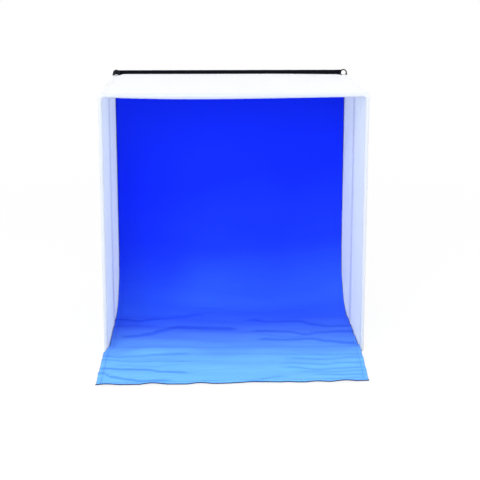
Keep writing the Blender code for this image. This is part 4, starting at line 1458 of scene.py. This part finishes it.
def pressed_creases(x, run):
    """The creases that handling has pressed into the cloth: their height, and the painted shade along
    their front flanks.
    """
    height = 0.0
    crease_shade = 0.0
    for rise, half_width, places in CREASES:
        half_width *= MM
        if not places[0][1] * MM - CREASE_REACH < run < places[-1][1] * MM + CREASE_REACH:
            if all(abs(run - down * MM) > CREASE_REACH for _, down in places):
                continue
        first, last = places[0][0] * MM, places[-1][0] * MM
        past_end = max(first - x, x - last, 0)
        if past_end > CREASE_TAPER:
            continue
        clamped = min(max(x, first), last)
        for (x0, run0), (x1, run1) in zip(places, places[1:]):
            if clamped <= x1 * MM:
                break
        share = (clamped - x0 * MM) / ((x1 - x0) * MM)
        off_line = (run - between(run0, run1, eased(share)) * MM) / half_width
        if abs(off_line) < 3:
            fade = 1 - eased(past_end / CREASE_TAPER)
            height += CREASE_RISE * rise * MM * math.exp(-(off_line**2)) * fade
            off_shade_line = (off_line - SHADE_OFFSET_SHARE) / SHADE_WIDTH_SHARE
            crease_shade += rise * math.exp(-(off_shade_line**2)) * fade
    return height, crease_shade


rows = backdrop_rows()
runs = [0.0]
for (y, z, *_), (next_y, next_z, *_) in zip(rows, rows[1:]):
    runs.append(runs[-1] + math.hypot(next_y - y, next_z - z))
DROP_LENGTH = runs[-1]


def row_at(run):
    """The lie of the cloth at any length along it."""
    run = min(max(run, 0.0), DROP_LENGTH)
    index = max(next(i for i in range(len(runs)) if runs[i] >= run), 1)
    share = (run - runs[index - 1]) / (runs[index] - runs[index - 1])
    return [between(a, b, share) for a, b in zip(rows[index - 1], rows[index])]


def side_edges(y):
    """Where the left and right edges of the cloth lie."""
    near_hoop = eased(1.6 - abs(y - HOOP_MIDDLE.y) / HOOP_PINCH_RUN)
    inside = between(BETWEEN_WALLS, BETWEEN_HOOP_LEGS, near_hoop)
    spread = eased((hoop_low.y - SPREAD_START - y) / SPREAD_RUN)
    forward = min(max((hoop_low.y - y) / (hoop_low.y - DROP_FRONT_Y), 0), 1)
    left = -between(inside, APRON_LEFT, spread)
    right = between(inside, APRON_RIGHT, spread) - (APRON_RIGHT - FRONT_RIGHT) * forward
    return left, right, forward


def lay_backdrop(across, run):
    y, z, lean, fold, crease = row_at(run)
    share = across / DROP_WIDTH
    left, right, forward = side_edges(y)
    x = between(left, right, share)
    lift = fold * fold_share(share, run) + crease * fine_creases(share, run)
    lift += pressed_creases(x, run)[0]
    in_hem = min(across, DROP_WIDTH - across) < SIDE_HEM or run > DROP_LENGTH - FRONT_HEM
    lift += HEM_RISE if in_hem else 0.0
    curl = eased(1 - (DROP_LENGTH - run) / FRONT_CURL_RUN) * (1 - math.cos(lean)) * FRONT_CURL
    lift += curl * max(0.15 + 1.6 * noise.noise(Vector((x / FRONT_CURL_SPACING, 3.0, 0.0))), 0)
    y -= FRONT_SKEW * forward * (1 - share)
    # At the hoop's rounded bottom corners the edges climb up the legs
    past_bend = abs(x) - (HOOP_WIDTH / 2 - hoop_outer_radius)
    if past_bend > 0 and abs(y - HOOP_MIDDLE.y) < CLIMB_REACH:
        inner = hoop_outer_radius - 2 * SLEEVE_RADIUS
        sleeve_top = hoop_outer_radius - math.sqrt(max(inner**2 - past_bend**2, 0))
        climb = max(sleeve_top + CLIMB_GAP - z, 0)
        lift += climb * eased(1.6 - abs(y - HOOP_MIDDLE.y) / CLIMB_RUN)
    return (x, y - lift * math.cos(lean), z + lift * math.sin(lean))


DEEP_BLUE = (0.004, 0.018, 0.80, 1)
# Painted light: colours along the cloth, from deep blue where it hangs to pale blue where it lies, for
# the overhead light and sheen on the lying part
PAINTED_LIGHT_STOPS = (
    (0.08, (0.0068, 0.032, 0.98, 1)),
    (0.18, (0.0060, 0.0285, 0.96, 1)),
    (0.30, (0.0122, 0.0505, 0.95, 1)),
    (0.40, (0.034, 0.130, 0.95, 1)),
    (0.46, (0.039, 0.136, 0.94, 1)),
    (0.51, (0.060, 0.180, 0.93, 1)),
    (0.55, (0.095, 0.265, 0.94, 1)),
    # Just behind the hoop's bar the colour is painted lighter, and on top of the bar darker: painted
    # light and painted shade that smooth the shading step over the bar
    (0.595, (0.126, 0.366, 0.94, 1)),
    (0.606, (0.126, 0.366, 0.94, 1)),
    (0.621, (0.106, 0.310, 0.94, 1)),
    (0.633, (0.106, 0.312, 0.94, 1)),
    (0.655, (0.154, 0.462, 0.94, 1)),
    (0.700, (0.164, 0.490, 0.94, 1)),
)
FADE_WANDER = 0.05
FADE_SLANT = 0.12
FADE_SLANT_START_SHARE = 0.3
HANGING_SLOPE = -4.2
HANGING_START = 2.5
BLUE_THREADS = 1100.0
BLUE_CREASES = 30.0
BLUE_THREAD_RELIEF = 0.06 * MM
BLUE_CREASE_RELIEF = 1.0 * MM
BLUE_GAP_SHARE = 0.14
CREASE_SHADE_TINT = (0.45, 0.55, 0.86, 1)

blue_cloth, tree, shader = new_material(
    "blue_cloth",
    {
        "Roughness": 0.85,
        "Specular IOR Level": 0.06,
        "Sheen Weight": 0.08,
        "Sheen Roughness": 0.45,
        "Sheen Tint": (0.25, 0.55, 1.0, 1),
    },
)
cut = node(tree, "TexCoord").outputs["UV"]
axes = node(tree, "SeparateXYZ", {0: cut})
woven = node(tree, "Group", {"Cut": cut, "Threads per metre": BLUE_THREADS}, node_tree=weave)
creased = node(tree, "Group", {"Cut": cut, "Scale": BLUE_CREASES}, node_tree=creases)
# Noise moves the edge of the painted light up and down the cloth
light_wander_noise = number(tree, "ADD", speckle(tree, cut, 9.0, 1.0), -0.5)
wandering = number(tree, "MULTIPLY_ADD", light_wander_noise, FADE_WANDER, axes.outputs["Y"])
# The painted light reaches higher up the cloth on the right, most of all on the part that hangs, standing
# in for brighter light on the right side
hangs = number(tree, "MULTIPLY_ADD", axes.outputs["Y"], HANGING_SLOPE, HANGING_START)
hangs = number(tree, "MINIMUM", number(tree, "MAXIMUM", hangs, 0.0), 1.0)
slant_start = -FADE_SLANT_START_SHARE * FADE_SLANT * DROP_WIDTH
slant = number(tree, "MULTIPLY_ADD", axes.outputs["X"], FADE_SLANT, slant_start)
wandering = number(tree, "MULTIPLY_ADD", slant, hangs, wandering)
fade = node(tree, "ValToRGB", {"Fac": number(tree, "DIVIDE", wandering, DROP_LENGTH)})
light_steps = fade.color_ramp.elements
light_steps.remove(light_steps[1])
for index, (run, colour) in enumerate(PAINTED_LIGHT_STOPS):
    stop = light_steps[0] if index == 0 else light_steps.new(run / DROP_LENGTH)
    stop.position = run / DROP_LENGTH
    stop.color = colour
colour = fade.outputs["Color"]
shade = number(tree, "MULTIPLY_ADD", woven.outputs["Streaks"], 0.6, 0.05)
shade = number(tree, "MULTIPLY_ADD", woven.outputs["Height"], 0.3, shade)
darker = blended(tree, BLUE_GAP_SHARE, colour, DEEP_BLUE)
colour = blended(tree, shade, darker, colour)
# Painted shade: the colour is multiplied darker along the creases' front flanks
crease_shade_fac = node(tree, "Attribute", attribute_name="creased").outputs["Fac"]
colour = node(
    tree, "Mix", {0: crease_shade_fac, 6: colour, 7: CREASE_SHADE_TINT}, data_type="RGBA", blend_type="MULTIPLY"
).outputs[2]
threads_up = relief(tree, woven.outputs["Height"], BLUE_THREAD_RELIEF)
surface = relief(tree, creased.outputs["Height"], BLUE_CREASE_RELIEF, threads_up)
paint(tree, shader, colour, surface)

run_places = [run for run in runs if run < DROP_LENGTH - FRONT_HEM - FRONT_HEM_CLEARANCE]
run_places += [DROP_LENGTH - FRONT_HEM + line for line in FRONT_HEM_LINES]
backdrop = cloth(
    "backdrop_cloth",
    stops(DROP_WIDTH, BACKDROP_GRID, SIDE_HEM_LINES),
    run_places + [DROP_LENGTH],
    lay_backdrop,
    BACKDROP_CLOTH_THICKNESS,
    blue_cloth,
    "back",
    ["backdrop"],
)
# Each corner of the cloth keeps the painted shade of the creases near it
shade_at_cut = {}
crease_shade_at = backdrop.data.attributes.new("creased", "FLOAT", "CORNER")
for corner, flat_cut in zip(crease_shade_at.data, backdrop.data.uv_layers["cut"].data):
    across, run = flat_cut.uv
    key = (round(across, 5), round(run, 5))
    if key not in shade_at_cut:
        left, right, _ = side_edges(row_at(run)[0])
        x = between(left, right, across / DROP_WIDTH)
        shade_at_cut[key] = min(pressed_creases(x, run)[1] / FULL_CREASE_SHADE, 1)
    corner.value = shade_at_cut[key]

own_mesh(backdrop)

# BACKDROP SEWING. The side and front hems are stitched with blue thread, and the raw edge is
# whipped over with darker thread, which shows as a thin dark line all round the cloth. That dark line
# is also painted shadow for the shade at the cloth's edge, and is thicker along the front, where it
# stands for the shade under the front hem.
blue_thread = thread_material("blue_thread", (0.004, 0.02, 0.40, 1), (0.02, 0.09, 0.75, 1))
edge_thread_and_shadow = thread_material("edge_thread_and_shadow", (0.001, 0.004, 0.05, 1), (0.004, 0.014, 0.16, 1))


def cloth_line(places, lift):
    """A line over the backdrop through (across, run) places, with the way up at each."""
    line = []
    for across, run in places:
        here = Vector(lay_backdrop(across, run))
        lean = row_at(run)[2]
        up = Vector((0, -math.cos(lean), math.sin(lean)))
        line.append((here + up * lift, up))
    return line


SEAM_INSET = 6.4 * MM
FRONT_SEAM_INSET = FRONT_HEM - 1.6 * MM
STITCH_LIFT = 0.33 * MM


def evenly(length, steps):
    """Evenly spaced places from 0 to a length."""
    return [length * step / steps for step in range(steps + 1)]


side_seams = [
    cloth_line([(across, run) for run in evenly(DROP_LENGTH, 240)], STITCH_LIFT)
    for across in (SEAM_INSET, DROP_WIDTH - SEAM_INSET)
]
front_run = DROP_LENGTH - FRONT_SEAM_INSET
front_seam = cloth_line([(across, front_run) for across in evenly(DROP_WIDTH, 100)], STITCH_LIFT)
hem_stitches = stitches(
    "backdrop_stitches", [*side_seams, front_seam], blue_thread, "back"
)
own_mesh(hem_stitches)

EDGE_RADIUS = 0.35 * MM
EDGE_INSET = 0.2 * MM
# Painted shadow: along the front the dark edge is thicker, for the shade under the front hem
FRONT_EDGE_AND_SHADOW_RADIUS = 0.75 * MM
FRONT_EDGE_RUN = 4 * MM
edge_places = [(EDGE_INSET, run) for run in evenly(DROP_LENGTH, 300)[:-1]]
edge_places += [(across, DROP_LENGTH - EDGE_INSET) for across in evenly(DROP_WIDTH, 150)]
edge_places += [(DROP_WIDTH - EDGE_INSET, DROP_LENGTH - run) for run in evenly(DROP_LENGTH, 300)[1:]]
edge_points = [point for point, _ in cloth_line(edge_places, 0.0)]
edge_curve = bpy.data.curves.new("backdrop_edge", "CURVE")
edge_curve.dimensions = "3D"
edge_curve.bevel_depth = EDGE_RADIUS
edge_curve.bevel_resolution = 1
edge_curve.use_fill_caps = True
spline = edge_curve.splines.new("POLY")
spline.points.add(len(edge_points) - 1)
for knot, point, (_, run) in zip(spline.points, edge_points, edge_places):
    knot.co = (*point, 1)
    at_front = eased((run - DROP_LENGTH + FRONT_EDGE_RUN) / FRONT_EDGE_RUN)
    knot.radius = between(1.0, FRONT_EDGE_AND_SHADOW_RADIUS / EDGE_RADIUS, at_front)
holder = put_in_scene("edge_path", edge_curve)
edge_mesh = mesh_now(holder)
bpy.data.objects.remove(holder)
work = bmesh.new()
work.from_mesh(edge_mesh)
bmesh.ops.remove_doubles(work, verts=work.verts, dist=MERGE_DISTANCE)
bmesh.ops.recalc_face_normals(work, faces=work.faces)
edging = add_piece("backdrop_edging_and_shadow", work, edge_thread_and_shadow, "back")
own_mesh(edging)

# STUDIO. A pale table top, soft light all round, two large soft lights in front, one above, and a
# weaker one at each side, which shines through the side walls.
FLOOR_SIZE = 12.0
FLOOR_ALBEDO = (0.90, 0.90, 0.90, 1)
WHITE_NEAR = 0.9
WHITENING_PER_METRE = 0.1
WHITENING_START = 0.6
TABLE_DROP = 0.1 * MM


def seen_directly(tree):
    """1 where the camera, a reflection or a clear surface shows this place, otherwise 0."""
    path = node(tree, "LightPath")
    seen = number(tree, "MAXIMUM", path.outputs["Is Camera Ray"], path.outputs["Is Glossy Ray"])
    return number(tree, "MAXIMUM", seen, path.outputs["Is Transmission Ray"])


floor_material, tree, shader = new_material("studio_floor", {"Roughness": 0.95})
shader.inputs["Base Color"].default_value = FLOOR_ALBEDO
shader.inputs["Specular IOR Level"].default_value = 0.0
bright = node(tree, "Emission", {"Color": (1, 1, 1, 1), "Strength": 1.0})
# Away from the tent the table turns plain white, so that no horizon shows
table_place = node(tree, "TexCoord").outputs["Object"]
away = node(tree, "VectorMath", {0: table_place}, operation="LENGTH").outputs["Value"]
white_here = WHITE_NEAR - WHITENING_PER_METRE * WHITENING_START
whiteness = number(tree, "MULTIPLY_ADD", away, WHITENING_PER_METRE, white_here)
whiteness = number(tree, "MINIMUM", number(tree, "MAXIMUM", whiteness, WHITE_NEAR), 1.0)
whiteness = number(tree, "MULTIPLY", seen_directly(tree), whiteness)
lit = node(tree, "MixShader", {0: whiteness, 1: shader.outputs[0], 2: bright.outputs[0]})
clear = node(tree, "BsdfTransparent")
from_below = node(tree, "NewGeometry").outputs["Backfacing"]
surface = node(tree, "MixShader", {0: from_below, 1: lit.outputs[0], 2: clear.outputs[0]})
tree.links.new(surface.outputs[0], tree.nodes["Material Output"].inputs["Surface"])

work = bmesh.new()
bmesh.ops.create_grid(work, x_segments=1, y_segments=1, size=FLOOR_SIZE / 2)
mesh = bpy.data.meshes.new("table")
work.to_mesh(mesh)
work.free()
mesh.materials.append(floor_material)
table = put_in_scene("table", mesh)
table.location = (0, 0, -TABLE_DROP)

AMBIENT = 0.63
world = bpy.data.worlds.new("studio")
bpy.context.scene.world = world
world.use_nodes = True
tree = world.node_tree
tree.nodes.clear()
soft = node(tree, "Background", {"Color": (1, 1, 1, 1), "Strength": AMBIENT})
white = node(tree, "Background", {"Color": (1, 1, 1, 1), "Strength": 1.0})
both = node(tree, "MixShader", {0: seen_directly(tree), 1: soft.outputs[0], 2: white.outputs[0]})
node(tree, "OutputWorld", {"Surface": both.outputs[0]})

LIGHT_AIM = Vector((0, 0, 0.2))
for name, place, size, watts in (
    ("front_light", (-0.9, -2.6, 1.35), 1.2, 43),
    ("second_light", (1.4, -2.2, 1.2), 1.0, 11),
    ("top_light", (0.0, -0.1, 2.4), 1.2, 10),
    ("left_light", (-1.6, 0.1, 0.9), 1.0, 7),
    ("right_light", (1.6, 0.1, 0.9), 1.0, 7),
):
    light = bpy.data.lights.new(name, "AREA")
    light.shape = "SQUARE"
    light.size = size
    light.energy = watts
    holder = put_in_scene(name, light)
    holder.location = place
    aim = LIGHT_AIM - Vector(place)
    holder.rotation_euler = aim.to_track_quat("-Z", "Y").to_euler()

CAMERA_PLACE = Vector((-0.0415, -1.9719, 0.6057))
CAMERA_AIM = Vector((0.0268, 0.9733, -0.2280))
CAMERA_LENS = 93.12
CAMERA_SENSOR = 36.0
CAMERA_NEAR = 0.05
CAMERA_FAR = 50

camera = bpy.data.cameras.new("camera")
camera.lens = CAMERA_LENS
camera.sensor_width = CAMERA_SENSOR
camera.clip_start = CAMERA_NEAR
camera.clip_end = CAMERA_FAR
viewer = put_in_scene("camera", camera)
viewer.location = CAMERA_PLACE
viewer.rotation_euler = CAMERA_AIM.to_track_quat("-Z", "Y").to_euler()
bpy.context.scene.camera = viewer
bpy.context.scene.view_settings.view_transform = "Standard"
